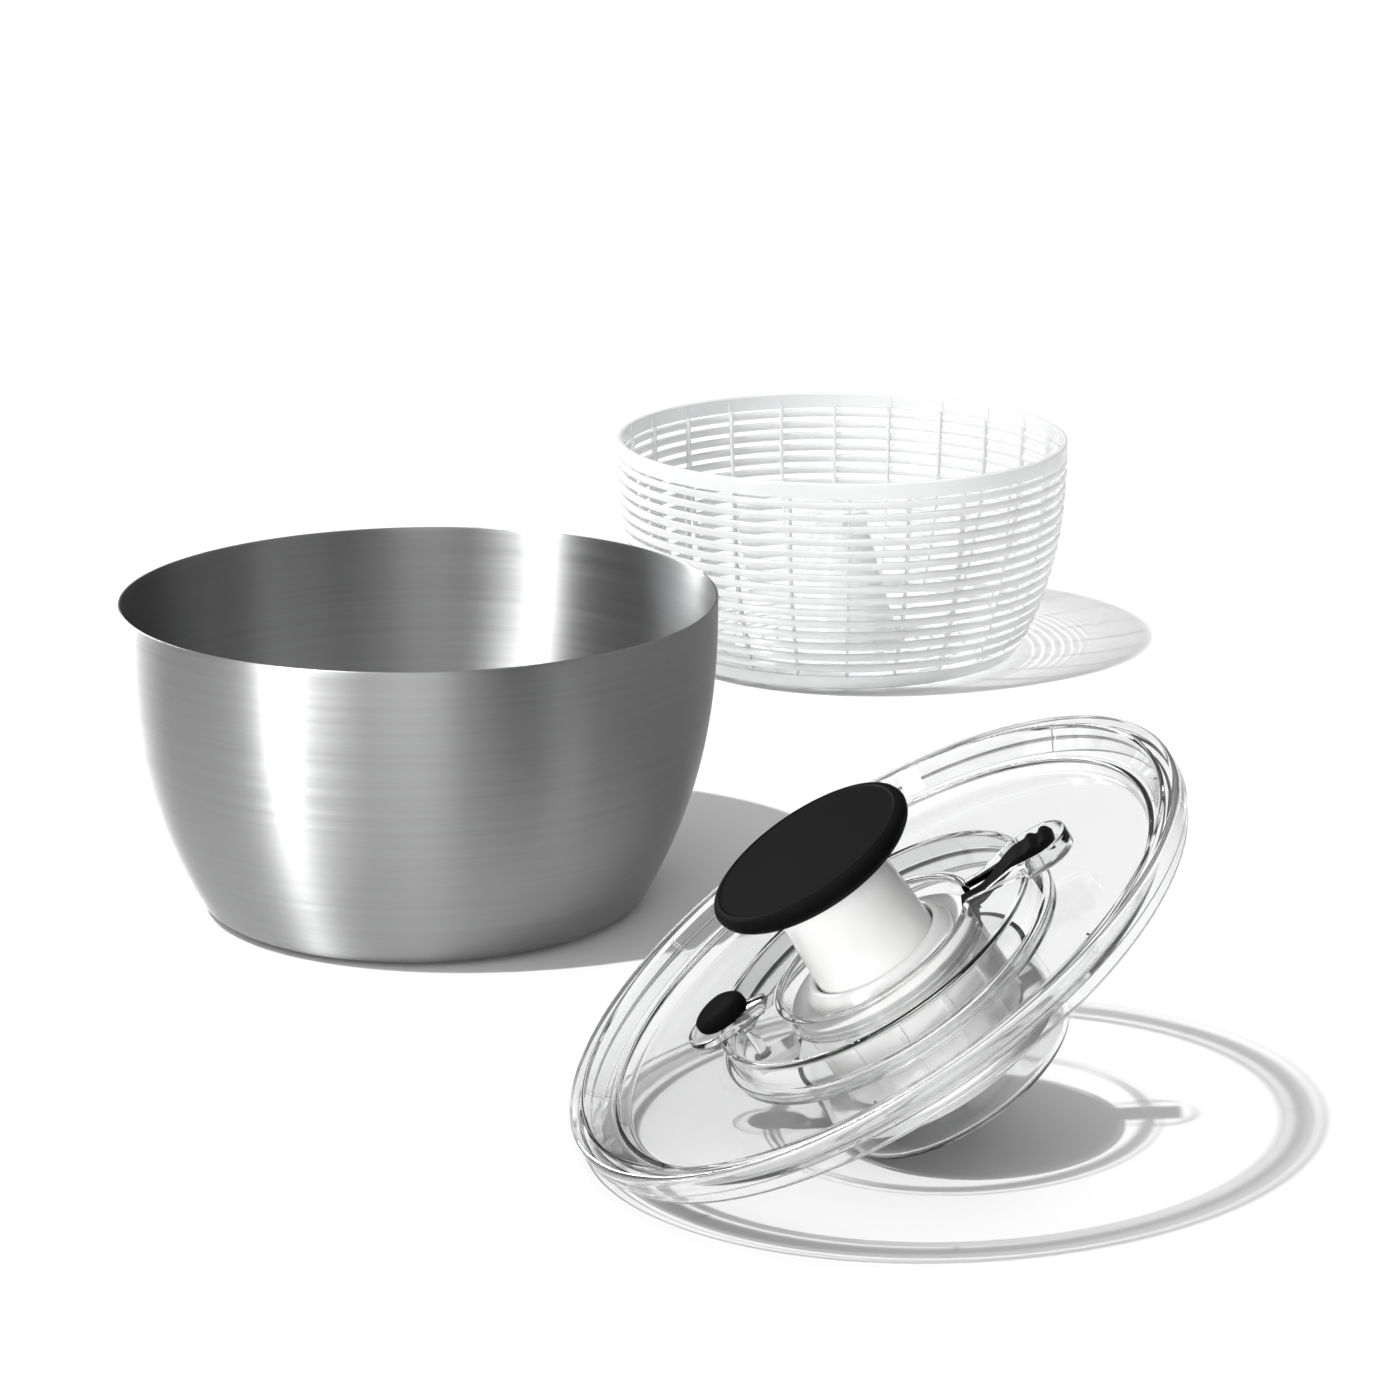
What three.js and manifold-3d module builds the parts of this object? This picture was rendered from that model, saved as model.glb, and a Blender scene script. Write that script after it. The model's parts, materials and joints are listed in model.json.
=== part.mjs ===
// Salad spinner with a pump knob, taken apart on a table: a steel bowl, a slotted basket, and the clear lid
// leaning on its own rim and drive cup. Millimetres, +Z up. The origin is the middle of the bowl's base pad.
// The lid's pieces are drawn in its own frame: z = 0 is the plane of its top rim and +z points to the knob.

import * as THREE from 'three';
import { mergeVertices } from 'three/addons/utils/BufferGeometryUtils.js';
import Module from 'manifold-3d';

const wasm = await Module();
wasm.setup();

// Facets round each family of round pieces
const rimFacets = 48;
const drumFacets = 24;
const smallFacets = 12;

// Clearances
const restGap = 0.3; // between faces that touch
const runGap = 0.4; // round a piece that turns or slides
const slideGap = 0.8; // each side of the latch and the brake
const cutMargin = 1; // how far a cutting shape runs past the face it opens

// Bowl
const bowlRadius = 130;
const bowlHeight = 138;
const bowlFlare = 34.5; // how much wider the rim is than the foot of the wall
const bowlCurve = 2.45;
const bowlCorner = 12;
const steelWall = 1;
const padInset = 15.5; // from the foot of the bowl's wall
const padThickness = 2;
const padProud = 0.6; // the pad stands this far below the steel
const bossRadius = 34;
const bossHeight = 5; // raised middle of the bowl's floor, on which the basket's foot stands

// Basket
const basketSideGap = 7.6; // between the two rims, all round
const basketRimDrop = 11.1; // the basket's rim below the bowl's, when it is in place
const basketFlare = 27;
const basketCurve = 2.65;
const basketCorner = 5;
const basketWall = 2.2;
const basketColumns = 24;
const basketRibWidth = 4;
const slotRows = 3;
const slotHeight = 3;
const slotReach = 12; // half the depth of the cut that makes a row of slots
const baseBand = 12;
const rimBand = 8;
const towerRootRadius = 30;
const towerTipInset = 1; // the tower's tip is this much slimmer than its hexagon
const bushRadius = 27.4;
const footFlange = 4.6;
const footHeight = 2.2;
const bushDepth = 7;
const bushBore = 6;

// Hexagonal drive between the basket's tower and the cup
const hexFlats = 28; // across the flats
const hexDepth = 9;
const hexPlay = 0.4; // each side

// Lid shell
const lidOverhang = 0.5; // past the bowl's rim
const lidEdge = 0.8;
const lidWall = 2.5;
const lidShoulder = 8.3; // depth of the shoulder that rests on the bowl's rim
const spigotGap = 1.5; // between the lid's lower band and the inside of the bowl's rim
const spigotDepth = 6.2;
const lidRimWidth = 6.5;
const outerSlopeRun = 7; // the slope from the rim down to the ring-shaped step
const troughWidth = 3;
const troughDepth = 9;
const innerSlopeRun = 2; // the slope from that step down to the disc
const discDepth = 14; // top of the flat disc
const collarGap = 10; // beyond the brake's stem
const collarDepth = 22;

// Clear cover over the mechanism
const coverDepth = 4; // top of the cover
const coverWall = 2.2;
const coverSkirtDepth = 20.4;
const wellWallDepth = 16.8;
const latchEarReach = 18; // past the collar
const latchEarHalfWidth = 13;
const brakeEarReach = 15; // past the middle of the button
const brakeEarHalfWidth = 13.5;
const earWallHeight = 5.5;
const earWall = 2;
const coverGap = 0.5; // between the cover's skirt and the collar
const wellGap = 1.5; // between the drum and the cover's middle opening
const brakeWellWall = 1.3;
const brakeWellPlay = 0.7;
const brakeWellFloorDepth = 12;
const brakeWellFloor = 1.5;

// Mechanism housing
const drumRadius = 38;
const drumWall = 2;
const drumFloorDepth = 47; // top of the drum's floor
const drumFloor = 3;
const capDepth = 12; // top of the cap
const capThickness = 2;
const sleeveBore = 25.3; // guides the stem
const sleeveWall = 1.5;
const sleeveDepth = 34;
const bezelInset = 7; // from the drum's outside
const bezelTop = 5;
const bezelEdge = [[0, 2.2], [2.5, 3.7]]; // its shoulder: in from the radius, up from its underside
const bezelLip = [[2, 0], [0.7, 0], [0, 0.8]]; // its lip: out from the bore, down from its top
const screwInset = 8; // from the drum's outside
const screwRadius = 1.2;
const screwHeadRadius = 2.6;
const screwHeadHeight = 1.5;
const screwLength = 12;
const postRadius = 3;

// Pump
const knobRadius = 41;
const knobThickness = 12.4;
const knobRestClear = 2.6; // height of the pressed knob above the lid's rim plane
// The knob's rounded edge, as steps in from its radius and down from its top.
const knobEdge = [[2, 0], [0.6, 0.7], [0, 2.5], [0.4, 5], [2.8, 8.4]];
const knobHollow = [9, 0.9]; // the underside's bend: in from its radius, up from its lowest point
const knobSkin = 1.4;
const coreRadius = 30;
const coreThickness = 5;
const stemTopRadius = 22.5;
const stemFootRadius = 24.5;
const stemBore = 20.5;
const stemFootClear = 2; // above the drum's floor when pressed
const plugDepth = 7;
const pumpStroke = 27;
const rodWidth = 9;
const rodThickness = 6;
const rodInset = 4.3; // the rod's top below the underside of the knob's core
const rodFootClear = 0.6; // above the underside of the hub when pressed
const rodCorner = 1.5;
const rodStepsPerTurn = 18;
const rodPlay = 1.1; // between the rod's corners and the bores it passes
const threadPlay = 0.6; // between the rod's flats and the nut's thread
const rodLead = 24; // one turn of the twist
const knobScrewRadius = 1.6;
const knobScrewLength = 10;
const screwSink = 2; // depth of the screw's head in the core

// Driver and hub
const nutRadius = 6.8;
const nutTopDepth = 16;
const nutHeight = 10;
const clutchWall = 2;
const clutchTeeth = 6;
const clutchRamp = [0.9, 0.3]; // depth of a ramp at its foot and at its middle
const clutchPlay = 0.5;
const hubPostRadius = 12;
const hubTopDepth = 13;
const hubDiscDepth = 51.6; // top of the disc
const hubDiscThickness = 4;
const retainingWidth = 4.5;
const retainingThickness = 1.5;
const grooveDepth = 0.8;
const groovePlay = 0.2;
const keeperThickness = 1.5;

// Drive cup
const cupGap = 9.5; // between the drum and the inside of the cup
const cupWall = 2;
const cupTopDepth = 31.5;
const cupBottomDepth = 68;
const cupCorner = 6;
const socketWall = 2.5;

// Springs
const springCoilRadius = 17.2;
const springWire = 0.9;
const springTurns = 6;
const brakeSpringCoilRadius = 3.2;
const brakeSpringWire = 0.4;
const brakeSpringTurns = 5;

// Brake
const brakeTravel = 2.3;
const brakeStemOffset = 7.5; // the stem stands this far outside the cup
const brakeButtonOffset = 6; // the button's middle lies this far beyond the stem
const brakeButtonLength = 23;
const brakeButtonWidth = 19;
const brakeButtonEdge = 1.5;
const brakeStemRadius = 2.2;
const brakeButtonTop = 5; // above the rim plane
const brakeButtonDepth = 1.2; // underside, below the rim plane
const brakeArmThickness = 3;
const brakeArmHalfWidth = 5;
const brakeArmLap = 3; // how far the arm reaches inside the cup's wall
const brakePadThickness = 1.6;
const brakePadHalfWidth = 4.5;
const brakePadLap = [2, 2.5]; // how far the pad reaches outside and inside the cup's wall

// Latch
const latchTravel = 5.5;
const latchWidth = 12;
const latchLegWidth = 8;
const latchLegGap = 3; // between the leg's inner face and the drum's wall
const latchEndGap = 0.7; // between the pushed-in bar and the bezel
const latchBarDrop = 3.4; // the bar's lower end below the drum's top
const latchBarHeight = 2.9;
const latchDropLength = 3;
const latchStepGap = 0.6;
const latchNotchPlay = 0.6;
const latchLegThickness = 2;
const latchTipGap = 0.5; // between the tongue and the stem's sleeve
const latchTongueDepth = 38.6;
const latchTongueThickness = 2;
const latchUnderBend = [[10.8, -10.6], [20.8, -6.2]]; // underside of the bend: out from the bar's end, height
const latchUnderEnd = 24.8;
const latchOverBend = [[20.8, -2.2], [10.8, -7]]; // top of the bend, the same way
const latchOverEnd = 5.8;
const latchGripInset = 4; // from the inside of the ear's tip
const latchGrip = [[0, 0.6], [3, 2.2], [5.5, 0.8], [8, 2.2], [11, 1.6]]; // in from the grip's tip, height

// Places on the table
const basketPlace = [198.8, 430.3];
const lidPlace = [182.8, -293.5];
const lidBearing = 192; // compass angle of the lid's axis, degrees from +X
const lidSpin = 165; // turns the latch and brake round the lid's axis, a whole number of rim facets

// ---- Sizes that follow from the ones above ----

const padRadius = bowlRadius - bowlFlare - padInset;
const recessDepth = padThickness + restGap;
const bowlFloorTop = recessDepth + steelWall;
const bossTop = bowlFloorTop + bossHeight;
const basketRadius = bowlRadius - steelWall - basketSideGap;
const basketHeight = bowlHeight - bossTop - basketRimDrop;
const towerTipRadius = hexFlats / 2 - towerTipInset;
const lidRadius = bowlRadius + lidOverhang;
const spigotRadius = bowlRadius - steelWall - spigotGap;
const spigotBottom = lidShoulder + spigotDepth;
const troughTop = lidRadius - lidRimWidth;
const troughBottom = troughTop - outerSlopeRun;
const troughInner = troughBottom - troughWidth;
const discRadius = troughInner - innerSlopeRun;
const cupRadius = drumRadius + cupGap + cupWall;
const brakeStemPlace = cupRadius + brakeStemOffset;
const brakeCentre = brakeStemPlace + brakeButtonOffset;
const brakeEarTip = brakeCentre + brakeEarReach;
const brakePadFoot = cupTopDepth - restGap - brakeTravel; // the pressed pad stops just above the cup's edge
const brakeArmDepth = brakePadFoot - brakePadThickness - restGap - brakeArmThickness;
const collarRadius = brakeStemPlace + collarGap;
const latchEarTip = collarRadius + latchEarReach;
const bezelRadius = drumRadius - bezelInset;
const screwCircle = drumRadius - screwInset;
const hubFoot = hubDiscDepth + hubDiscThickness;
const knobBottom = pumpStroke + knobRestClear;
const knobTop = knobBottom + knobThickness;
const coreBottom = knobBottom + knobSkin + restGap;
const coreTop = coreBottom + coreThickness;
const stemFootDepth = drumFloorDepth - stemFootClear - pumpStroke;
const rodTop = coreBottom - rodInset;
const rodFootDepth = hubFoot - rodFootClear - pumpStroke;
const latchLegInner = drumRadius - drumWall - latchLegGap;
const latchTipRadius = sleeveBore + sleeveWall + latchTipGap;

const finishes = {
  steel: { color: 0xa8a8a8, metalness: 1, roughness: 0.34 },
  clear: { color: 0xeef2f2, metalness: 0, roughness: 0.06, transparent: true, opacity: 0.35 },
  frosted: { color: 0xf2f4f4, metalness: 0, roughness: 0.35, transparent: true, opacity: 0.8 },
  white: { color: 0xf2f2f0, metalness: 0, roughness: 0.3 },
  black: { color: 0x161616, metalness: 0, roughness: 0.55 },
  rubber: { color: 0x202020, metalness: 0, roughness: 0.8 },
  zinc: { color: 0xb4b4b0, metalness: 1, roughness: 0.3 },
};

// ---- Shape helpers ----

// Joins shared vertices and drops the flat triangles that a pole leaves.
function weld(geometry) {
  const bare = geometry.clone();
  bare.deleteAttribute('normal');
  bare.deleteAttribute('uv');
  const merged = mergeVertices(bare, 1e-4);
  const index = merged.getIndex().array;
  const kept = [];
  for (let i = 0; i < index.length; i += 3) {
    const [a, b, c] = [index[i], index[i + 1], index[i + 2]];
    if (a !== b && b !== c && c !== a) {
      kept.push(a, b, c);
    }
  }
  merged.setIndex(kept);
  return merged;
}

function toSolid(geometry) {
  const welded = weld(geometry);
  const vertProperties = new Float32Array(welded.getAttribute('position').array);
  const triVerts = new Uint32Array(welded.getIndex().array);
  return new wasm.Manifold(new wasm.Mesh({ numProp: 3, vertProperties, triVerts }));
}

function fromSolid(solid) {
  const mesh = solid.getMesh();
  const geometry = new THREE.BufferGeometry();
  geometry.setAttribute('position', new THREE.BufferAttribute(mesh.vertProperties, 3));
  geometry.setIndex(new THREE.BufferAttribute(mesh.triVerts, 1));
  return geometry;
}

// Twice the area of an outline, positive when it runs anticlockwise.
function outlineArea(points) {
  let area = 0;
  points.forEach(([r, z], i) => {
    const [nextR, nextZ] = points[(i + 1) % points.length];
    area += r * nextZ - nextR * z;
  });
  return area;
}

// Turns an outline of [radius, height] pairs about Z. An outline that leaves the axis is closed on itself.
function turned(outline, facets) {
  const points = outlineArea(outline) > 0 ? [...outline] : [...outline].reverse();
  const onAxis = points.filter(([r]) => r === 0).length === 2;
  if (onAxis) {
    while (points[0][0] !== 0 || points[points.length - 1][0] !== 0) {
      points.push(points.shift());
    }
  } else {
    points.push(points[0]);
  }
  const geometry = new THREE.LatheGeometry(points.map(([r, z]) => new THREE.Vector2(r, z)), facets);
  geometry.rotateX(Math.PI / 2);
  return weld(geometry);
}

function ring(inner, outer, low, high, facets) {
  return turned([[inner, low], [outer, low], [outer, high], [inner, high]], facets);
}

function rod(radius, low, high, facets) {
  return turned([[0, low], [radius, low], [radius, high], [0, high]], facets);
}

function slab(lowX, highX, halfWidth, low, high) {
  const geometry = new THREE.BoxGeometry(highX - lowX, 2 * halfWidth, high - low);
  geometry.translate((lowX + highX) / 2, 0, (low + high) / 2);
  return geometry;
}

function extruded(shape, low, high, curveSegments = 6) {
  const options = { depth: high - low, bevelEnabled: false, curveSegments };
  const geometry = new THREE.ExtrudeGeometry(shape, options);
  geometry.translate(0, 0, low);
  return geometry;
}

// A tab that points along X: straight sides from `start`, and a round end that reaches `tip`.
function tabShape(start, tip, halfWidth) {
  const shape = new THREE.Shape();
  const side = Math.sign(tip);
  const centre = tip - side * halfWidth;
  shape.moveTo(start, -side * halfWidth);
  shape.lineTo(centre, -side * halfWidth);
  shape.absarc(centre, 0, halfWidth, -side * Math.PI / 2, side * Math.PI / 2, side < 0);
  shape.lineTo(start, side * halfWidth);
  shape.closePath();
  return shape;
}

function hexPrism(flats, low, high) {
  const radius = flats / 2 / Math.cos(Math.PI / 6);
  const geometry = new THREE.CylinderGeometry(radius, radius, high - low, 6);
  geometry.rotateX(Math.PI / 2);
  geometry.translate(0, 0, (low + high) / 2);
  return geometry;
}

function shifted(geometry, x, y, z) {
  const copy = geometry.clone();
  copy.translate(x, y, z);
  return copy;
}

class Coil extends THREE.Curve {
  constructor(radius, turns, low, high) {
    super();
    Object.assign(this, { radius, turns, low, high });
  }

  getPoint(t, target = new THREE.Vector3()) {
    const angle = 2 * Math.PI * this.turns * t;
    const height = this.low + (this.high - this.low) * t;
    return target.set(this.radius * Math.cos(angle), this.radius * Math.sin(angle), height);
  }
}

function coilSpring(coilRadius, wire, turns, low, high, stepsPerTurn) {
  const section = new THREE.Shape();
  section.absarc(0, 0, wire, 0, 2 * Math.PI);
  const path = new Coil(coilRadius, turns, low + 2 * wire, high - 2 * wire);
  const options = { steps: turns * stepsPerTurn, extrudePath: path, bevelEnabled: false, curveSegments: 2 };
  return new THREE.ExtrudeGeometry(section, options);
}

// The pump's rod: a flat bar twisted about its own length. `play` fattens it to cut its matching hole.
function twistedBar(low, high, play) {
  const halfWidth = rodWidth / 2 + play;
  const halfThickness = rodThickness / 2 + play;
  const corner = rodCorner;
  const shape = new THREE.Shape();
  shape.moveTo(halfWidth, corner - halfThickness);
  shape.lineTo(halfWidth, halfThickness - corner);
  shape.lineTo(halfWidth - corner, halfThickness);
  shape.lineTo(corner - halfWidth, halfThickness);
  shape.lineTo(-halfWidth, halfThickness - corner);
  shape.lineTo(-halfWidth, corner - halfThickness);
  shape.lineTo(corner - halfWidth, -halfThickness);
  shape.lineTo(halfWidth - corner, -halfThickness);
  shape.closePath();
  const steps = Math.ceil(((high - low) * rodStepsPerTurn) / rodLead);
  const geometry = new THREE.ExtrudeGeometry(shape, { depth: high - low, steps, bevelEnabled: false });
  geometry.translate(0, 0, low);
  const place = geometry.getAttribute('position');
  for (let i = 0; i < place.count; i += 1) {
    const angle = (2 * Math.PI * place.getZ(i)) / rodLead;
    const [x, y] = [place.getX(i), place.getY(i)];
    place.setX(i, x * Math.cos(angle) - y * Math.sin(angle));
    place.setY(i, x * Math.sin(angle) + y * Math.cos(angle));
  }
  return geometry;
}

// ---- Flared walls, shared by the bowl and the basket ----

function flaredRadius(wall, height) {
  const toRim = Math.max(1 - height / wall.height, 0);
  return wall.radius - wall.flare * toRim ** wall.curve;
}

// Outline of a flared wall from the edge of its flat underside, round its bottom corner and up to its rim.
function flaredOutline(wall, cornerSteps, sideSteps) {
  const slope = (wall.flare * wall.curve) / wall.height;
  const lean = Math.atan(slope * (1 - wall.corner / wall.height) ** (wall.curve - 1));
  const join = wall.stand + wall.corner * (1 - Math.sin(lean));
  const centre = flaredRadius(wall, join) - wall.corner * Math.cos(lean);
  const points = [];
  for (let i = 0; i <= cornerSteps; i += 1) {
    const angle = -Math.PI / 2 + ((Math.PI / 2 - lean) * i) / cornerSteps;
    const height = wall.stand + wall.corner * (1 + Math.sin(angle));
    points.push([centre + wall.corner * Math.cos(angle), height]);
  }
  for (let i = 1; i <= sideSteps; i += 1) {
    const height = join + ((wall.height - join) * i) / sideSteps;
    points.push([flaredRadius(wall, height), height]);
  }
  return points;
}

// The same outline moved inwards by a wall's thickness, level with the rim at the top.
function insetOutline(points, thickness) {
  return points.map(([r, z], i) => {
    const [beforeR, beforeZ] = points[Math.max(i - 1, 0)];
    const [afterR, afterZ] = points[Math.min(i + 1, points.length - 1)];
    const length = Math.hypot(afterR - beforeR, afterZ - beforeZ);
    const isFoot = i === 0;
    const isRim = i === points.length - 1;
    const inward = isFoot ? 0 : (thickness * (afterZ - beforeZ)) / length;
    const upward = isFoot ? thickness : (thickness * (afterR - beforeR)) / length;
    return [r - (isRim ? thickness : inward), z + (isRim ? 0 : upward)];
  });
}

// ---- The scene graph ----

const spinner = new THREE.Group();
const basketPlacing = new THREE.Group();
basketPlacing.position.set(...basketPlace, 0);
spinner.add(basketPlacing);

function addPiece(parent, name, geometry, finish) {
  const mesh = new THREE.Mesh(weld(geometry), new THREE.MeshStandardMaterial(finishes[finish]));
  mesh.name = name;
  parent.add(mesh);
  return mesh;
}

// ---- Bowl ----

const bowlWall = {
  radius: bowlRadius,
  height: bowlHeight,
  flare: bowlFlare,
  curve: bowlCurve,
  corner: bowlCorner,
  stand: padProud,
};

function bowlShell() {
  const outside = flaredOutline(bowlWall, 2, 6);
  const inside = insetOutline(outside, steelWall).filter(([, z]) => z > bowlFloorTop + steelWall);
  const floorEdge = outside[1][0] - steelWall;
  const bossSlope = bossHeight;
  return turned([
    [0, bossTop - steelWall],
    [bossRadius, bossTop - steelWall],
    [bossRadius + bossSlope, recessDepth],
    [padRadius + restGap, recessDepth],
    [padRadius + restGap, padProud],
    ...outside,
    ...inside.reverse(),
    [floorEdge, bowlFloorTop],
    [bossRadius + bossSlope, bowlFloorTop],
    [bossRadius, bossTop],
    [0, bossTop],
  ], rimFacets);
}

addPiece(spinner, 'bowl_shell', bowlShell(), 'steel');
addPiece(spinner, 'base_pad', rod(padRadius, 0, padThickness, rimFacets), 'rubber');

// ---- Basket ----

const basketFloor = footHeight + restGap;
const basketWallShape = {
  radius: basketRadius,
  height: basketHeight,
  flare: basketFlare,
  curve: basketCurve,
  corner: basketCorner,
  stand: basketFloor,
};
const lidSeat = bowlHeight + lidShoulder; // height of the lid's rim plane when it is on the bowl
const socketRoof = cupBottomDepth - hexDepth - cutMargin; // depth of the hexagonal socket's roof in the lid
const towerTop = lidSeat - socketRoof - bossTop - restGap;
const bushBoreRadius = bushRadius + 2 * restGap;

function basketShell() {
  const outside = flaredOutline(basketWallShape, 2, 5);
  const inside = insetOutline(outside, basketWall);
  const floorTop = basketFloor + basketWall;
  const hexFoot = towerTop - hexDepth;
  return toSolid(turned([
    [0, hexFoot - basketWall],
    [towerTipRadius - basketWall, hexFoot - basketWall],
    [bushBoreRadius, floorTop + bushDepth],
    [bushBoreRadius, basketFloor],
    ...outside,
    ...inside.reverse(),
    [towerRootRadius, floorTop],
    [towerRootRadius, floorTop + bushDepth],
    [towerTipRadius, hexFoot],
    [towerTipRadius, towerTop - towerTipInset],
    [0, towerTop - towerTipInset],
  ], basketColumns));
}

// One row of drain slots: a flat ring across the wall, interrupted at each rib.
function slotRow(height) {
  const reach = flaredRadius(basketWallShape, height);
  const top = height + slotHeight;
  let row = toSolid(ring(reach - slotReach, reach + slotReach, height, top, basketColumns));
  for (let i = 0; i < basketColumns; i += 1) {
    const rib = slab(0, reach + 2 * slotReach, basketRibWidth / 2, height - cutMargin, top + cutMargin);
    rib.rotateZ((2 * Math.PI * i) / basketColumns);
    row = row.subtract(toSolid(rib));
  }
  return row;
}

function basketBody() {
  const lowest = baseBand;
  const highest = basketHeight - rimBand - slotHeight;
  let body = basketShell().add(toSolid(hexPrism(hexFlats, towerTop - hexDepth, towerTop)));
  for (let i = 0; i < slotRows; i += 1) {
    body = body.subtract(slotRow(lowest + ((highest - lowest) * (i + 0.5)) / slotRows));
  }
  return fromSolid(body);
}

addPiece(basketPlacing, 'basket_body', basketBody(), 'frosted');
addPiece(basketPlacing, 'pivot_bush', turned([
  [bushBore, 0],
  [bushRadius + footFlange, 0],
  [bushRadius + footFlange, footHeight],
  [bushRadius, footHeight],
  [bushRadius, footHeight + bushDepth],
  [bushBore, footHeight + bushDepth],
], basketColumns), 'white');

// ---- Lid: placing ----

// The lid leans so that its spigot's lower edge and a point on the cup's bottom corner both touch the table.
function cupCornerPoints() {
  const points = [];
  const steps = 3;
  for (let i = 0; i <= steps; i += 1) {
    const angle = (Math.PI / 2) * (i / steps);
    const radius = cupRadius - cupCorner + cupCorner * Math.sin(angle);
    points.push([radius, -(cupBottomDepth - cupCorner + cupCorner * Math.cos(angle))]);
  }
  return points;
}

const leanAngles = cupCornerPoints().map(([r, z]) => Math.atan2(-z - spigotBottom, spigotRadius - r));
const lidLean = Math.max(...leanAngles);
const lidHeight = spigotBottom * Math.cos(lidLean) + spigotRadius * Math.sin(lidLean);

const lidPlacing = new THREE.Group();
lidPlacing.position.set(...lidPlace, lidHeight);
lidPlacing.rotation.z = THREE.MathUtils.degToRad(lidBearing);
spinner.add(lidPlacing);

const lidTilt = new THREE.Group();
lidTilt.rotation.y = lidLean;
lidPlacing.add(lidTilt);

const lid = new THREE.Group();
lid.rotation.z = THREE.MathUtils.degToRad(lidSpin);
lidTilt.add(lid);

// ---- Lid: clear shell ----

const discUnder = discDepth + lidWall;
const troughUnder = troughDepth + lidWall;
const collarLip = coverSkirtDepth + restGap;
const spigotInner = spigotRadius - lidWall;

// Underside of a sloping wall whose top runs outwards and up from [radius, height]: as thick as the other
// walls, measured square to the slope.
function slopeUnder(radius, height, run, rise) {
  const across = (lidWall * Math.hypot(run, rise)) / rise;
  return {
    radiusAt: (level) => radius + across + ((level - height) * run) / rise,
    heightAt: (reach) => height + ((reach - radius - across) * rise) / run,
  };
}

const outerUnder = slopeUnder(troughBottom, -troughDepth, outerSlopeRun, troughDepth);
const innerUnder = slopeUnder(discRadius, -discDepth, innerSlopeRun, discDepth - troughDepth);

addPiece(lid, 'lid_shell', turned([
  [troughTop, 0],
  [lidRadius - lidEdge, 0],
  [lidRadius, -lidEdge],
  [lidRadius, -lidShoulder],
  [spigotRadius, -lidShoulder],
  [spigotRadius, -spigotBottom],
  [spigotInner, -spigotBottom],
  [spigotInner, outerUnder.heightAt(spigotInner)],
  [outerUnder.radiusAt(-troughUnder), -troughUnder],
  [innerUnder.radiusAt(-troughUnder), -troughUnder],
  [innerUnder.radiusAt(-discUnder), -discUnder],
  [collarRadius + lidWall, -discUnder],
  [collarRadius + lidWall, -collarDepth],
  [collarRadius - lidWall, -collarDepth],
  [collarRadius - lidWall, -collarLip],
  [collarRadius, -collarLip],
  [collarRadius, -discDepth],
  [discRadius, -discDepth],
  [troughInner, -troughDepth],
  [troughBottom, -troughDepth],
], rimFacets), 'clear');

// ---- Lid: clear cover with the latch's ear and the brake's ear ----

const coverRadius = collarRadius - coverGap;
const coverUnder = coverDepth + coverWall;
const wellRadius = drumRadius + wellGap; // the cover's middle opening
const capRadius = wellRadius - restGap;
const ledgeRadius = drumRadius + runGap;
const latchSlotHalfWidth = latchWidth / 2 + slideGap;
const latchSlotEnd = collarRadius - cutMargin;
const brakeWellRadius = brakeSpringCoilRadius + brakeSpringWire + brakeWellPlay;

function ear(tip, halfWidth) {
  const start = Math.sign(tip) * (wellRadius + cutMargin);
  const innerStart = Math.sign(tip) * (wellRadius - cutMargin);
  const pocketTip = tip - Math.sign(tip) * earWall;
  const outer = toSolid(extruded(tabShape(start, tip, halfWidth), -coverUnder, -coverDepth + earWallHeight));
  const pocketShape = tabShape(innerStart, pocketTip, halfWidth - earWall);
  return outer.subtract(toSolid(extruded(pocketShape, -coverDepth, earWallHeight)));
}

function coverPlate() {
  const disc = toSolid(turned([
    [wellRadius, -coverDepth],
    [coverRadius, -coverDepth],
    [coverRadius, -coverSkirtDepth],
    [coverRadius - coverWall, -coverSkirtDepth],
    [coverRadius - coverWall, -coverUnder],
    [wellRadius + coverWall, -coverUnder],
    [wellRadius + coverWall, -wellWallDepth],
    [ledgeRadius, -wellWallDepth],
    [ledgeRadius, -capDepth - capThickness - restGap],
    [wellRadius, -capDepth - capThickness - restGap],
  ], rimFacets));
  const wellFoot = -brakeWellFloorDepth - brakeWellFloor;
  const slotFoot = -wellWallDepth - cutMargin;
  const brakeWell = rod(brakeWellRadius + brakeWellWall, wellFoot, -coverDepth - cutMargin, smallFacets);
  const brakeBore = rod(brakeWellRadius, -brakeWellFloorDepth, 0, smallFacets);
  const brakeHole = rod(brakeStemRadius + runGap, wellFoot - cutMargin, 0, smallFacets);
  const slotTop = -coverDepth + cutMargin;
  const latchSlot = slab(ledgeRadius - cutMargin, latchSlotEnd, latchSlotHalfWidth, slotFoot, slotTop);
  const skirtTop = -coverUnder - cutMargin;
  const skirt = ring(coverRadius - coverWall, coverRadius, -coverSkirtDepth, skirtTop, rimFacets);
  return fromSolid(disc
    .add(ear(latchEarTip, latchEarHalfWidth))
    .add(ear(-brakeEarTip, brakeEarHalfWidth))
    .subtract(toSolid(latchSlot))
    .add(toSolid(skirt))
    .add(toSolid(shifted(brakeWell, -brakeStemPlace, 0, 0)))
    .subtract(toSolid(shifted(brakeBore, -brakeStemPlace, 0, 0)))
    .subtract(toSolid(shifted(brakeHole, -brakeStemPlace, 0, 0))));
}

addPiece(lid, 'cover_plate', coverPlate(), 'clear');

// ---- Lid: mechanism housing ----

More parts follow.
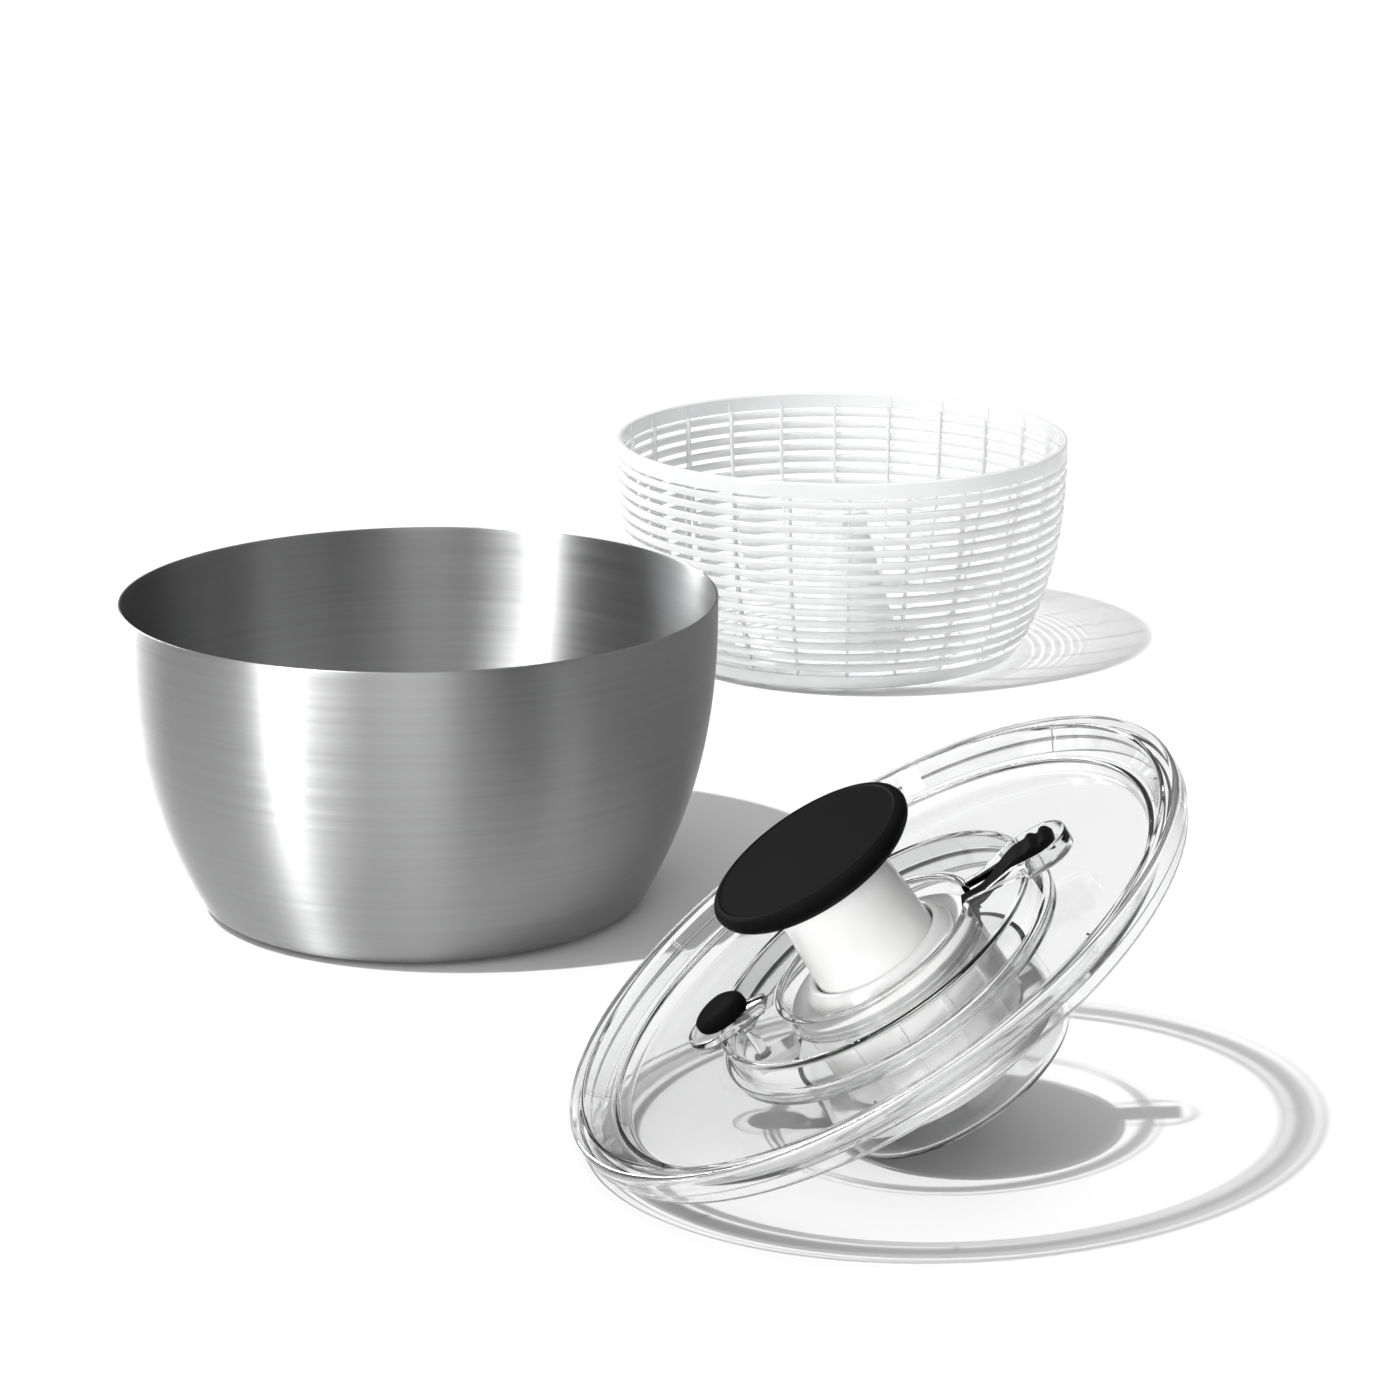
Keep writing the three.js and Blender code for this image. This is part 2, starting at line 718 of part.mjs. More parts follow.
const capUnder = capDepth + capThickness;
const drumTop = capUnder + restGap;
const drumBottom = drumFloorDepth + drumFloor;
const screwAngles = [45, 135, 225, 315].map(THREE.MathUtils.degToRad);
const postFoot = drumFloorDepth - restGap;
const latchBarUnder = drumTop + latchBarDrop;
const headTop = drumBottom - screwHeadHeight - restGap;

function aroundScrews(geometry) {
  return screwAngles.map((angle) => (
    shifted(geometry, screwCircle * Math.cos(angle), screwCircle * Math.sin(angle), 0)
  ));
}

function housingCap() {
  let cap = toSolid(turned([
    [sleeveBore, -sleeveDepth],
    [sleeveBore + sleeveWall, -sleeveDepth],
    [sleeveBore + sleeveWall, -capUnder],
    [capRadius, -capUnder],
    [capRadius, -capDepth],
    [sleeveBore, -capDepth],
  ], drumFacets));
  for (const post of aroundScrews(rod(postRadius, -postFoot, -capUnder + capThickness / 2, smallFacets))) {
    cap = cap.add(toSolid(post));
  }
  const pilotTop = headTop - screwLength - cutMargin;
  const pilot = rod(screwRadius + restGap, -postFoot - cutMargin, -pilotTop, smallFacets);
  for (const cut of aroundScrews(pilot)) {
    cap = cap.subtract(toSolid(cut));
  }
  const [slotStart, slotEnd] = [bezelRadius + latchEndGap / 2, capRadius + cutMargin];
  const slot = slab(slotStart, slotEnd, latchSlotHalfWidth, -capUnder - cutMargin, -capDepth + cutMargin);
  return fromSolid(cap.subtract(toSolid(slot)));
}

function housingDrum() {
  let drum = toSolid(turned([
    [hubPostRadius + runGap, -drumBottom],
    [drumRadius, -drumBottom],
    [drumRadius, -drumTop],
    [drumRadius - drumWall, -drumTop],
    [drumRadius - drumWall, -drumFloorDepth],
    [hubPostRadius + runGap, -drumFloorDepth],
  ], drumFacets));
  const cutFoot = -drumBottom - cutMargin;
  const hole = rod(screwRadius + restGap, cutFoot, -drumFloorDepth + cutMargin, smallFacets);
  const counterbore = rod(screwHeadRadius + restGap, cutFoot, -headTop + restGap, smallFacets);
  for (const cut of [...aroundScrews(hole), ...aroundScrews(counterbore)]) {
    drum = drum.subtract(toSolid(cut));
  }
  const notch = slab(latchLegInner, drumRadius + cutMargin, latchSlotHalfWidth, -latchBarUnder, 0);
  return fromSolid(drum.subtract(toSolid(notch)));
}

addPiece(lid, 'housing_cap', housingCap(), 'white');
addPiece(lid, 'housing_drum', housingDrum(), 'white');
addPiece(lid, 'bezel_ring', turned([
  [sleeveBore, -capDepth + restGap],
  [bezelRadius, -capDepth + restGap],
  ...bezelEdge.map(([inwards, up]) => [bezelRadius - inwards, -capDepth + restGap + up]),
  ...bezelLip.map(([outwards, down]) => [sleeveBore + outwards, -bezelTop - down]),
], drumFacets), 'white');

const housingScrew = turned([
  [0, -headTop - screwHeadHeight],
  [screwHeadRadius, -headTop - screwHeadHeight],
  [screwHeadRadius, -headTop],
  [screwRadius, -headTop],
  [screwRadius, -headTop + screwLength],
  [0, -headTop + screwLength],
], smallFacets);
aroundScrews(housingScrew).forEach((screw, i) => addPiece(lid, `housing_screw_${i + 1}`, screw, 'zinc'));

// ---- Lid: pump knob, stem and twisted rod ----

const pocketBottom = coreBottom - restGap;
const pocketTop = coreTop + restGap;
const screwSeat = coreTop - screwSink;
const knobBore = stemTopRadius + 2 * restGap;
const knobFacets = drumFacets * 1.5;
const knobScrewHead = 2 * knobScrewRadius;

addPiece(lid, 'knob_pad', turned([
  [0, knobTop],
  ...knobEdge.map(([inwards, down]) => [knobRadius - inwards, knobTop - down]),
  [knobRadius - knobHollow[0], knobBottom + knobHollow[1]],
  [knobBore, knobBottom],
  [knobBore, pocketBottom],
  [coreRadius + restGap, pocketBottom],
  [coreRadius + restGap, pocketTop],
  [0, pocketTop],
], knobFacets), 'black');

function knobCore() {
  const core = toSolid(turned([
    [0, coreBottom - plugDepth],
    [stemBore - restGap, coreBottom - plugDepth],
    [stemBore - restGap, coreBottom],
    [coreRadius, coreBottom],
    [coreRadius, coreTop],
    [0, coreTop],
  ], drumFacets));
  const plugFoot = coreBottom - plugDepth;
  const rodHole = rod(rodWidth / 2 + rodPlay, plugFoot - cutMargin, rodTop + restGap, drumFacets);
  const screwHole = rod(knobScrewRadius + restGap, rodTop - cutMargin, coreTop + cutMargin, smallFacets);
  const headHole = rod(knobScrewHead + restGap, screwSeat, coreTop + cutMargin, smallFacets);
  return fromSolid(core.subtract(toSolid(rodHole)).subtract(toSolid(screwHole)).subtract(toSolid(headHole)));
}

// The notch in the stem comes level with the latch's tongue when the knob is fully down.
function stemSleeve() {
  const notchBottom = -latchTongueDepth - latchNotchPlay + pumpStroke;
  const notchTop = -latchTongueDepth + latchTongueThickness + latchNotchPlay + pumpStroke;
  const notchHalfWidth = latchLegWidth / 2 + slideGap;
  const sleeve = toSolid(turned([
    [stemBore, -stemFootDepth],
    [stemFootRadius, -stemFootDepth],
    [stemFootRadius, -bezelTop],
    [stemTopRadius, coreBottom - restGap],
    [stemBore, coreBottom - restGap],
  ], drumFacets));
  const notch = slab(stemBore - cutMargin, stemFootRadius + cutMargin, notchHalfWidth, notchBottom, notchTop);
  return fromSolid(sleeve.subtract(toSolid(notch)));
}

function driveScrew() {
  const bar = toSolid(twistedBar(-rodFootDepth, rodTop, 0));
  const pilotFoot = screwSeat - knobScrewLength - cutMargin;
  const pilot = rod(knobScrewRadius + restGap, pilotFoot, rodTop + cutMargin, smallFacets);
  return fromSolid(bar.subtract(toSolid(pilot)));
}

addPiece(lid, 'knob_core', knobCore(), 'white');
addPiece(lid, 'stem_sleeve', stemSleeve(), 'white');
addPiece(lid, 'drive_screw', driveScrew(), 'zinc');
addPiece(lid, 'knob_screw', turned([
  [0, screwSeat - knobScrewLength],
  [knobScrewRadius, screwSeat - knobScrewLength],
  [knobScrewRadius, screwSeat + restGap],
  [knobScrewHead, screwSeat + restGap],
  [knobScrewHead, coreTop],
  [0, coreTop],
], smallFacets), 'zinc');

const springLow = -drumFloorDepth + restGap;
const springHigh = coreBottom - plugDepth - restGap;
const returnSpring = coilSpring(springCoilRadius, springWire, springTurns, springLow, springHigh, 12);
addPiece(lid, 'return_spring', returnSpring, 'zinc');

// ---- Lid: nut and one-way clutch, turned by the rod ----

const nutFoot = nutTopDepth + nutHeight;
const clutchInner = nutRadius + restGap;
const clutchOuter = clutchInner + clutchWall;
const hubBore = clutchOuter + clutchPlay;

function screwNut() {
  const body = toSolid(rod(nutRadius, -nutFoot, -nutTopDepth, drumFacets));
  const thread = toSolid(twistedBar(-nutFoot - cutMargin, -nutTopDepth + cutMargin, threadPlay));
  return fromSolid(body.subtract(thread));
}

// A ring of ramps: the steep side of each ramp grips the hub one way and slips the other.
function clutchRing() {
  const shape = new THREE.Shape();
  for (let i = 0; i < clutchTeeth; i += 1) {
    const angle = (2 * Math.PI * i) / clutchTeeth;
    const next = angle + (2 * Math.PI) / clutchTeeth;
    const [rampFoot, rampMiddle] = clutchRamp.map((depth) => clutchOuter - depth);
    shape[i === 0 ? 'moveTo' : 'lineTo'](rampFoot * Math.cos(angle), rampFoot * Math.sin(angle));
    const middle = (angle + next) / 2;
    shape.lineTo(rampMiddle * Math.cos(middle), rampMiddle * Math.sin(middle));
    shape.lineTo(clutchOuter * Math.cos(next), clutchOuter * Math.sin(next));
  }
  shape.closePath();
  const hole = new THREE.Path();
  hole.absarc(0, 0, clutchInner, 0, 2 * Math.PI, true);
  shape.holes.push(hole);
  return extruded(shape, -nutFoot + cutMargin, -nutTopDepth, drumFacets / 2);
}

addPiece(lid, 'screw_nut', screwNut(), 'white');
addPiece(lid, 'clutch_ring', clutchRing(), 'zinc');

// ---- Lid: hub, its rings and the drive cup ----

const grooveRadius = hubPostRadius - grooveDepth;
const ringLow = drumFloorDepth - restGap;
const ringHigh = ringLow - retainingThickness;
const rodClear = rodWidth / 2 + rodPlay;
const keeperTop = nutTopDepth - restGap - keeperThickness;

addPiece(lid, 'hub_rotor', turned([
  [rodClear, -hubFoot],
  [cupRadius - cupWall - restGap, -hubFoot],
  [cupRadius - cupWall - restGap, -hubDiscDepth],
  [hubPostRadius, -hubDiscDepth],
  [hubPostRadius, -ringLow - groovePlay],
  [grooveRadius, -ringLow - groovePlay],
  [grooveRadius, -ringHigh + groovePlay],
  [hubPostRadius, -ringHigh + groovePlay],
  [hubPostRadius, -hubTopDepth],
  [hubBore, -hubTopDepth],
  [hubBore, -nutFoot - restGap],
  [rodClear, -nutFoot - restGap],
], drumFacets), 'white');

const retainingInner = grooveRadius + restGap;
const retainingOuter = retainingInner + retainingWidth;
const retainingRing = ring(retainingInner, retainingOuter, -ringLow, -ringHigh, drumFacets);
addPiece(lid, 'retaining_ring', retainingRing, 'zinc');
const keeperOuter = hubBore - restGap;
const nutKeeper = ring(rodClear, keeperOuter, -keeperTop - keeperThickness, -keeperTop, drumFacets);
addPiece(lid, 'nut_keeper', nutKeeper, 'zinc');

function driveCup() {
  const corner = cupCornerPoints();
  const floorTop = -cupBottomDepth + cupWall;
  const socketWallRadius = hexFlats / 2 / Math.cos(Math.PI / 6) + hexPlay + socketWall;
  const cup = toSolid(turned([
    [0, -cupBottomDepth],
    ...corner,
    [cupRadius, -cupTopDepth],
    [cupRadius - cupWall, -cupTopDepth],
    [cupRadius - cupWall, -cupBottomDepth + cupCorner],
    [cupRadius - cupCorner, floorTop],
    [socketWallRadius, floorTop],
    [socketWallRadius, -hubFoot - restGap],
    [0, -hubFoot - restGap],
  ], drumFacets * 2));
  const socket = hexPrism(hexFlats + 2 * hexPlay, -cupBottomDepth - cutMargin, -socketRoof);
  return fromSolid(cup.subtract(toSolid(socket)));
}

addPiece(lid, 'drive_cup', driveCup(), 'clear');

// ---- Lid: brake ----

function brakeButton() {
  const outline = new THREE.Shape();
  const bevel = brakeButtonEdge;
  outline.absellipse(0, 0, brakeButtonLength / 2 - bevel, brakeButtonWidth / 2 - bevel, 0, 2 * Math.PI);
  const geometry = new THREE.ExtrudeGeometry(outline, {
    depth: brakeButtonTop + brakeButtonDepth - 2 * bevel,
    bevelThickness: bevel,
    bevelSize: bevel,
    bevelSegments: 1,
    curveSegments: 9,
  });
  geometry.translate(-brakeCentre, 0, -brakeButtonDepth + bevel);
  const stem = rod(brakeStemRadius, -brakeArmDepth - brakeArmThickness, 0, smallFacets);
  return fromSolid(toSolid(geometry).add(toSolid(shifted(stem, -brakeStemPlace, 0, 0))));
}

function brakeArm() {
  const inner = cupRadius - cupWall - brakeArmLap;
  const armFoot = -brakeArmDepth - brakeArmThickness;
  const armEnd = -brakeStemPlace - brakeArmHalfWidth;
  const bar = toSolid(slab(armEnd, -inner, brakeArmHalfWidth, armFoot, -brakeArmDepth));
  const hole = rod(brakeStemRadius + restGap, armFoot - cutMargin, -brakeArmDepth + cutMargin, smallFacets);
  return fromSolid(bar.subtract(toSolid(shifted(hole, -brakeStemPlace, 0, 0))));
}

const brakePadTop = -brakeArmDepth - brakeArmThickness - restGap;
const brakePad = slab(
  -cupRadius - brakePadLap[0],
  -cupRadius + cupWall + brakePadLap[1],
  brakePadHalfWidth,
  brakePadTop - brakePadThickness,
  brakePadTop,
);
const brakeSpringLow = -brakeWellFloorDepth + restGap;
const brakeSpringHigh = -brakeButtonDepth - restGap;
const brakeCoil = coilSpring(
  brakeSpringCoilRadius, brakeSpringWire, brakeSpringTurns, brakeSpringLow, brakeSpringHigh, 8,
);

addPiece(lid, 'brake_button', brakeButton(), 'black');
addPiece(lid, 'brake_arm', brakeArm(), 'white');
addPiece(lid, 'brake_pad', brakePad, 'rubber');
addPiece(lid, 'brake_spring', shifted(brakeCoil, -brakeStemPlace, 0, 0), 'zinc');

// ---- Lid: latch that locks the knob down ----

// Draws an outline of [distance from the axis, height] pairs as a bar of the given width across Y.
function barFromSide(points, width) {
  const shape = new THREE.Shape(points.map(([x, z]) => new THREE.Vector2(x, z)));
  const geometry = new THREE.ExtrudeGeometry(shape, { depth: width, bevelEnabled: false });
  geometry.rotateX(Math.PI / 2);
  geometry.translate(0, width / 2, 0);
  return geometry;
}

function latchSlider() {
  const barEnd = bezelRadius + latchEndGap + latchTravel;
  const dropOuter = barEnd + latchDropLength;
  const barUnder = -capDepth + restGap;
  const barTop = barUnder + latchBarHeight;
  const lowerTop = -capUnder - latchStepGap;
  const lowerUnder = -latchBarUnder + latchStepGap;
  const gripTip = latchEarTip - earWall - latchGripInset;
  const gripUnder = -coverDepth + restGap;
  const grip = toSolid(barFromSide([
    [barEnd, barUnder],
    [barEnd, lowerUnder],
    [dropOuter, lowerUnder],
    [dropOuter, barUnder - latchStepGap],
    ...latchUnderBend.map(([outwards, height]) => [barEnd + outwards, height]),
    [barEnd + latchUnderEnd, gripUnder],
    [gripTip, gripUnder],
    ...latchGrip.map(([inwards, height]) => [gripTip - inwards, height]),
    ...latchOverBend.map(([outwards, height]) => [barEnd + outwards, height]),
    [barEnd + latchOverEnd, barTop],
    [barEnd, barTop],
  ], latchWidth));
  const legOuter = latchLegInner + latchLegThickness;
  const tongueTop = -latchTongueDepth + latchTongueThickness;
  const leg = toSolid(barFromSide([
    [latchTipRadius, -latchTongueDepth],
    [legOuter, -latchTongueDepth],
    [legOuter, lowerUnder],
    [dropOuter, lowerUnder],
    [dropOuter, lowerTop],
    [latchLegInner, lowerTop],
    [latchLegInner, tongueTop],
    [latchTipRadius, tongueTop],
  ], latchLegWidth));
  return fromSolid(grip.add(leg));
}

addPiece(lid, 'latch_slider', latchSlider(), 'black');

export default spinner;
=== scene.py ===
import json
import math
import bmesh
import bpy
from mathutils import Matrix, Vector


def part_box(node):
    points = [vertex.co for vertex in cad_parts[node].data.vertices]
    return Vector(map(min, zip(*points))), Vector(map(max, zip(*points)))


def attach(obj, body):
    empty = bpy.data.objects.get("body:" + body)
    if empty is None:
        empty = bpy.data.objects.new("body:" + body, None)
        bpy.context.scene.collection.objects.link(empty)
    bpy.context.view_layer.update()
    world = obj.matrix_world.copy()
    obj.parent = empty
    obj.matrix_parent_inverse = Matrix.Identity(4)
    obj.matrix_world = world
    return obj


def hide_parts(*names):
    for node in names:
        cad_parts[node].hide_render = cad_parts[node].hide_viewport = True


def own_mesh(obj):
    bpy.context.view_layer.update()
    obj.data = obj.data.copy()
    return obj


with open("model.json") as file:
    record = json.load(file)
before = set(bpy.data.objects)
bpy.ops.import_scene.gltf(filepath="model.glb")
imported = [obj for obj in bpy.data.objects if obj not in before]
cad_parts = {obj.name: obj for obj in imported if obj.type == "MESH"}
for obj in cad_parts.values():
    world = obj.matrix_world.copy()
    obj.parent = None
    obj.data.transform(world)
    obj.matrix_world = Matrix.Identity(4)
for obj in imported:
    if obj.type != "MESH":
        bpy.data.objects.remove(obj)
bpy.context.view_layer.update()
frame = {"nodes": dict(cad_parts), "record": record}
print("frame loaded")

# Outlines are pairs of radius and height in millimetres, in the own frame of the bowl, basket or lid.
millimetre = 0.001
joints = {joint["name"]: joint for joint in frame["record"]["behaviour"]["joints"]}
basketCentre = Vector(joints["basket_spin"]["pos_m"])
basketPlace = Matrix.Translation((basketCentre.x, basketCentre.y, 0))
nutDepth = 0.021  # the nut's hinge lies this far below the lid's rim plane
lidAxis = Vector(joints["nut_turn"]["axis"]).normalized()
lidForward = -Vector(joints["latch_slide"]["axis"]).normalized()
lidSide = lidAxis.cross(lidForward)
lidOrigin = Vector(joints["nut_turn"]["pos_m"]) + nutDepth * lidAxis
lidPlace = Matrix.Translation(lidOrigin) @ Matrix((lidForward, lidSide, lidAxis)).transposed().to_4x4()
bowlPlace = Matrix.Identity(4)


def addNode(tree, kind, inputs=None, **values):
    # Sets the node's own values first, then fills its inputs with plain values or with other nodes' outputs.
    node = tree.nodes.new(kind)
    for key, value in values.items():
        setattr(node, key, value)
    for key, value in (inputs or {}).items():
        if isinstance(value, bpy.types.NodeSocket):
            tree.links.new(value, node.inputs[key])
        else:
            node.inputs[key].default_value = value
    return node


def mathNode(tree, operation, *terms):
    return addNode(tree, "ShaderNodeMath", dict(enumerate(terms)), operation=operation).outputs[0]


def mapRange(tree, value, given, made, **values):
    node = addNode(tree, "ShaderNodeMapRange", {
        "Value": value, "From Min": given[0], "From Max": given[1], "To Min": made[0], "To Max": made[1],
    }, **values)
    return node.outputs["Result"]


def setInputs(node, values):
    for key, value in values.items():
        node.inputs[key].default_value = value


def newMaterial(name):
    material = bpy.data.materials.new(name)
    material.use_nodes = True
    tree = material.node_tree
    return material, tree, tree.nodes["Principled BSDF"]


def linked(name, data):
    item = bpy.data.objects.new(name, data)
    bpy.context.collection.objects.link(item)
    return item


camera = {
    "place": (0.122, -1.688, 0.561), "downDegrees": 15.58, "lens": 102.857, "sensor": 36.0, "farthest": 60,
}
studio = {
    "floorSize": 16.0,
    "floorColour": (0.86, 0.86, 0.86),
    "floorRoughness": 0.9,
    "floorShine": 0.1,
    "horizonStrength": 0.07,
    "zenithStrength": 0.70,
    "skyBand": (0.05, 0.7),
    "rightShare": 0.2,
    "rightBand": (0.3, 0.9),
    "sunTravel": (0.45, 0.32, -1.0),
    "sunStrength": 2.65,
    "sunSpreadDegrees": 1.4,
}
# Bearings are in degrees from the camera's side. The first three lamps are seen only in reflections and draw
# the bright streaks down the bowl. The low fill lights only matt faces, upright ones more than the floor.
lamps = [
    {"name": "leftStrip", "bearing": -49, "distance": 2.4, "size": (0.20, 2.2), "power": 90, "matt": False},
    {"name": "backStrip", "bearing": -137, "distance": 2.4, "size": (0.30, 2.0), "power": 60, "matt": False},
    {"name": "frontPanel", "bearing": 2, "distance": 3.4, "size": (1.5, 2.4), "power": 24, "matt": False},
    {"name": "lowFill", "bearing": -14, "distance": 3.4, "size": (1.8, 0.7), "power": 64, "matt": True},
]
# A grey card beside the bowl, seen only in reflections, darkens the steel's right side.
sideCard = {"across": 0.185, "near": -0.14, "far": 0.24, "height": 0.30, "colour": (0.45, 0.45, 0.45)}


def makeCamera(values):
    data = bpy.data.cameras.new("studioCamera")
    data.lens = values["lens"]
    data.sensor_width = values["sensor"]
    data.clip_end = values["farthest"]
    eye = linked("studioCamera", data)
    eye.location = values["place"]
    eye.rotation_euler = (math.radians(90 - values["downDegrees"]), 0, 0)
    bpy.context.scene.camera = eye


def makeSheet(name, corners, colour, roughness, shine):
    material, _, shader = newMaterial(name)
    setInputs(shader, {"Base Color": (*colour, 1), "Roughness": roughness, "Specular IOR Level": shine})
    mesh = bpy.data.meshes.new(name)
    mesh.from_pydata(corners, [], [(0, 1, 2, 3)])
    mesh.materials.append(material)
    sheet = linked(name, mesh)
    return sheet


def makeSky(values):
    # Bright overhead, dim near the horizon and at the right, so steel and clear plastic keep dark edges.
    world = bpy.data.worlds.new("studioSky")
    world.use_nodes = True
    tree = world.node_tree
    coords = addNode(tree, "ShaderNodeTexCoord")
    split = addNode(tree, "ShaderNodeSeparateXYZ", {0: coords.outputs["Generated"]})
    heights = (values["horizonStrength"], values["zenithStrength"])
    climb = mapRange(tree, split.outputs["Z"], values["skyBand"], heights)
    sideways = mapRange(tree, split.outputs["X"], values["rightBand"], (1, values["rightShare"]))
    background = tree.nodes["Background"]
    background.inputs["Color"].default_value = (1, 1, 1, 1)
    tree.links.new(mathNode(tree, "MULTIPLY", climb, sideways), background.inputs["Strength"])
    bpy.context.scene.world = world


def makeSun(values):
    data = bpy.data.lights.new("keySun", "SUN")
    data.energy = values["sunStrength"]
    data.angle = math.radians(values["sunSpreadDegrees"])
    linked("keySun", data).rotation_euler = Vector(values["sunTravel"]).to_track_quat("-Z", "Y").to_euler()


def makeLamp(values):
    data = bpy.data.lights.new(values["name"], "AREA")
    data.shape = "RECTANGLE"
    data.size, data.size_y = values["size"]
    data.energy = values["power"]
    lamp = linked(values["name"], data)
    bearing = math.radians(values["bearing"])
    aim = Vector((0, 0, data.size_y / 2))
    lamp.location = aim + values["distance"] * Vector((math.sin(bearing), -math.cos(bearing), 0))
    lamp.rotation_euler = (aim - lamp.location).to_track_quat("-Z", "Y").to_euler()
    lamp.visible_diffuse = values["matt"]
    lamp.visible_glossy = not values["matt"]
    lamp.visible_transmission = False


makeCamera(camera)
half = studio["floorSize"] / 2
floorCorners = [(-half, -half, 0), (half, -half, 0), (half, half, 0), (-half, half, 0)]
makeSheet("studioFloor", floorCorners, studio["floorColour"], studio["floorRoughness"], studio["floorShine"])
across, near, far, top = (sideCard[key] for key in ("across", "near", "far", "height"))
cardCorners = [(across, near, 0), (across, far, 0), (across, far, top), (across, near, top)]
card = makeSheet("sideCard", cardCorners, sideCard["colour"], 0.5, 0)
card.visible_camera = card.visible_diffuse = card.visible_transmission = card.visible_shadow = False
makeSky(studio)
makeSun(studio)
for lamp in lamps:
    makeLamp(lamp)
bpy.context.scene.view_settings.view_transform = "Standard"
print("camera, floor and lights ready")


def roundedOutline(corners, steps=4):
    # Each corner is (radius, height) or (radius, height, rounding). Support points hold the flats straight.
    points = []
    count = len(corners)
    for i, corner in enumerate(corners):
        here = Vector(corner[:2])
        rounding = corner[2] if len(corner) > 2 else 0
        if rounding == 0:
            points.append(here)
            continue
        back = Vector(corners[i - 1][:2]) - here
        ahead = Vector(corners[(i + 1) % count][:2]) - here
        reach = min(rounding, 0.45 * back.length, 0.45 * ahead.length)
        start = here + back.normalized() * reach
        end = here + ahead.normalized() * reach
        if back.length > 4 * reach:
            points.append(start + back.normalized() * reach * 0.5)
        for j in range(steps + 1):
            t = j / steps
            points.append(start * (1 - t) ** 2 + here * 2 * t * (1 - t) + end * t ** 2)
        if ahead.length > 4 * reach:
            points.append(end + ahead.normalized() * reach * 0.5)
    return [tuple(point) for point in points]


def meshObject(name, mesh, place):
    mesh.transform(Matrix.Scale(millimetre, 4))
    mesh.transform(place)
    mesh.update()
    return linked(name, mesh)


def eased(t):
    return t * t * (3 - 2 * t)


def smoothFaces(mesh, degrees=35):
    mesh.polygons.foreach_set("use_smooth", [True] * len(mesh.polygons))
    mesh.set_sharp_from_angle(angle=math.radians(degrees))


def closedMesh(name, shape):
    bmesh.ops.remove_doubles(shape, verts=shape.verts, dist=1e-4)
    bmesh.ops.recalc_face_normals(shape, faces=shape.faces)
    if shape.calc_volume(signed=True) < 0:
        bmesh.ops.reverse_faces(shape, faces=shape.faces)
    mesh = bpy.data.meshes.new(name)
    shape.to_mesh(mesh)
    shape.free()
    smoothFaces(mesh)
    return mesh


def turnedShape(outline, segments, phase=0.0):
    # Turns an outline about the axis: a radius of 0 is a pole, and an outline with no pole closes on itself.
    shape = bmesh.new()
    rings = []
    for radius, height in outline:
        if radius < 1e-6:
            rings.append([shape.verts.new((0, 0, height))])
            continue
        angles = [2 * math.pi * (i + phase) / segments for i in range(segments)]
        rings.append([shape.verts.new((radius * math.cos(a), radius * math.sin(a), height)) for a in angles])
    poles = sum(len(ring) == 1 for ring in rings)
    pairs = list(zip(rings, rings[1:]))
    if poles == 0:
        pairs.append((rings[-1], rings[0]))
    for low, high in pairs:
        for i in range(segments):
            j = (i + 1) % segments
            if len(low) == 1 and len(high) == 1:
                continue
            if len(low) == 1:
                shape.faces.new((low[0], high[j], high[i]))
            elif len(high) == 1:
                shape.faces.new((low[i], low[j], high[0]))
            else:
                shape.faces.new((low[i], low[j], high[j], high[i]))
    return shape


def turnedPiece(name, corners, place, segments=128, steps=4, phase=0.0):
    outline = roundedOutline(corners, steps)
    return meshObject(name, closedMesh(name, turnedShape(outline, segments, phase)), place)


def prismShape(outline, low, high):
    # A straight block with the given outline of (x, y) pairs.
    shape = bmesh.new()
    bottom = [shape.verts.new((x, y, low)) for x, y in outline]
    top = [shape.verts.new((x, y, high)) for x, y in outline]
    shape.faces.new(list(reversed(bottom)))
    shape.faces.new(top)
    for i in range(len(outline)):
        j = (i + 1) % len(outline)
        shape.faces.new((bottom[i], bottom[j], top[j], top[i]))
    return shape


def bevelEdges(piece, width, segments=3, degrees=35):
    modifier = piece.modifiers.new("softEdges", "BEVEL")
    modifier.width = width * millimetre
    modifier.segments = segments
    modifier.limit_method = "ANGLE"
    modifier.angle_limit = math.radians(degrees)
    modifier.use_clamp_overlap = True
    applyModifiers(piece)


def applyModifiers(piece):
    graph = bpy.context.evaluated_depsgraph_get()
    mesh = bpy.data.meshes.new_from_object(piece.evaluated_get(graph))
    piece.modifiers.clear()
    oldMesh = piece.data
    piece.data = mesh
    bpy.data.meshes.remove(oldMesh)
    smoothFaces(piece.data)


def combine(piece, other, operation):
    modifier = piece.modifiers.new("combine", "BOOLEAN")
    modifier.object = other
    modifier.operation = operation
    modifier.solver = "EXACT"
    applyModifiers(piece)
    bpy.data.objects.remove(other)


def finishPiece(piece, material, body, slot, *nodes):
    piece.data.materials.clear()
    piece.data.materials.append(material)
    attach(piece, body)
    if nodes:
        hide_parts(*nodes)
    return piece


def objectCoords(tree, scale, turn=0.0):
    coords = addNode(tree, "ShaderNodeTexCoord")
    mapping = addNode(tree, "ShaderNodeMapping", {
        "Vector": coords.outputs["Object"], "Scale": scale, "Rotation": (0, 0, turn),
    })
    return mapping.outputs["Vector"]


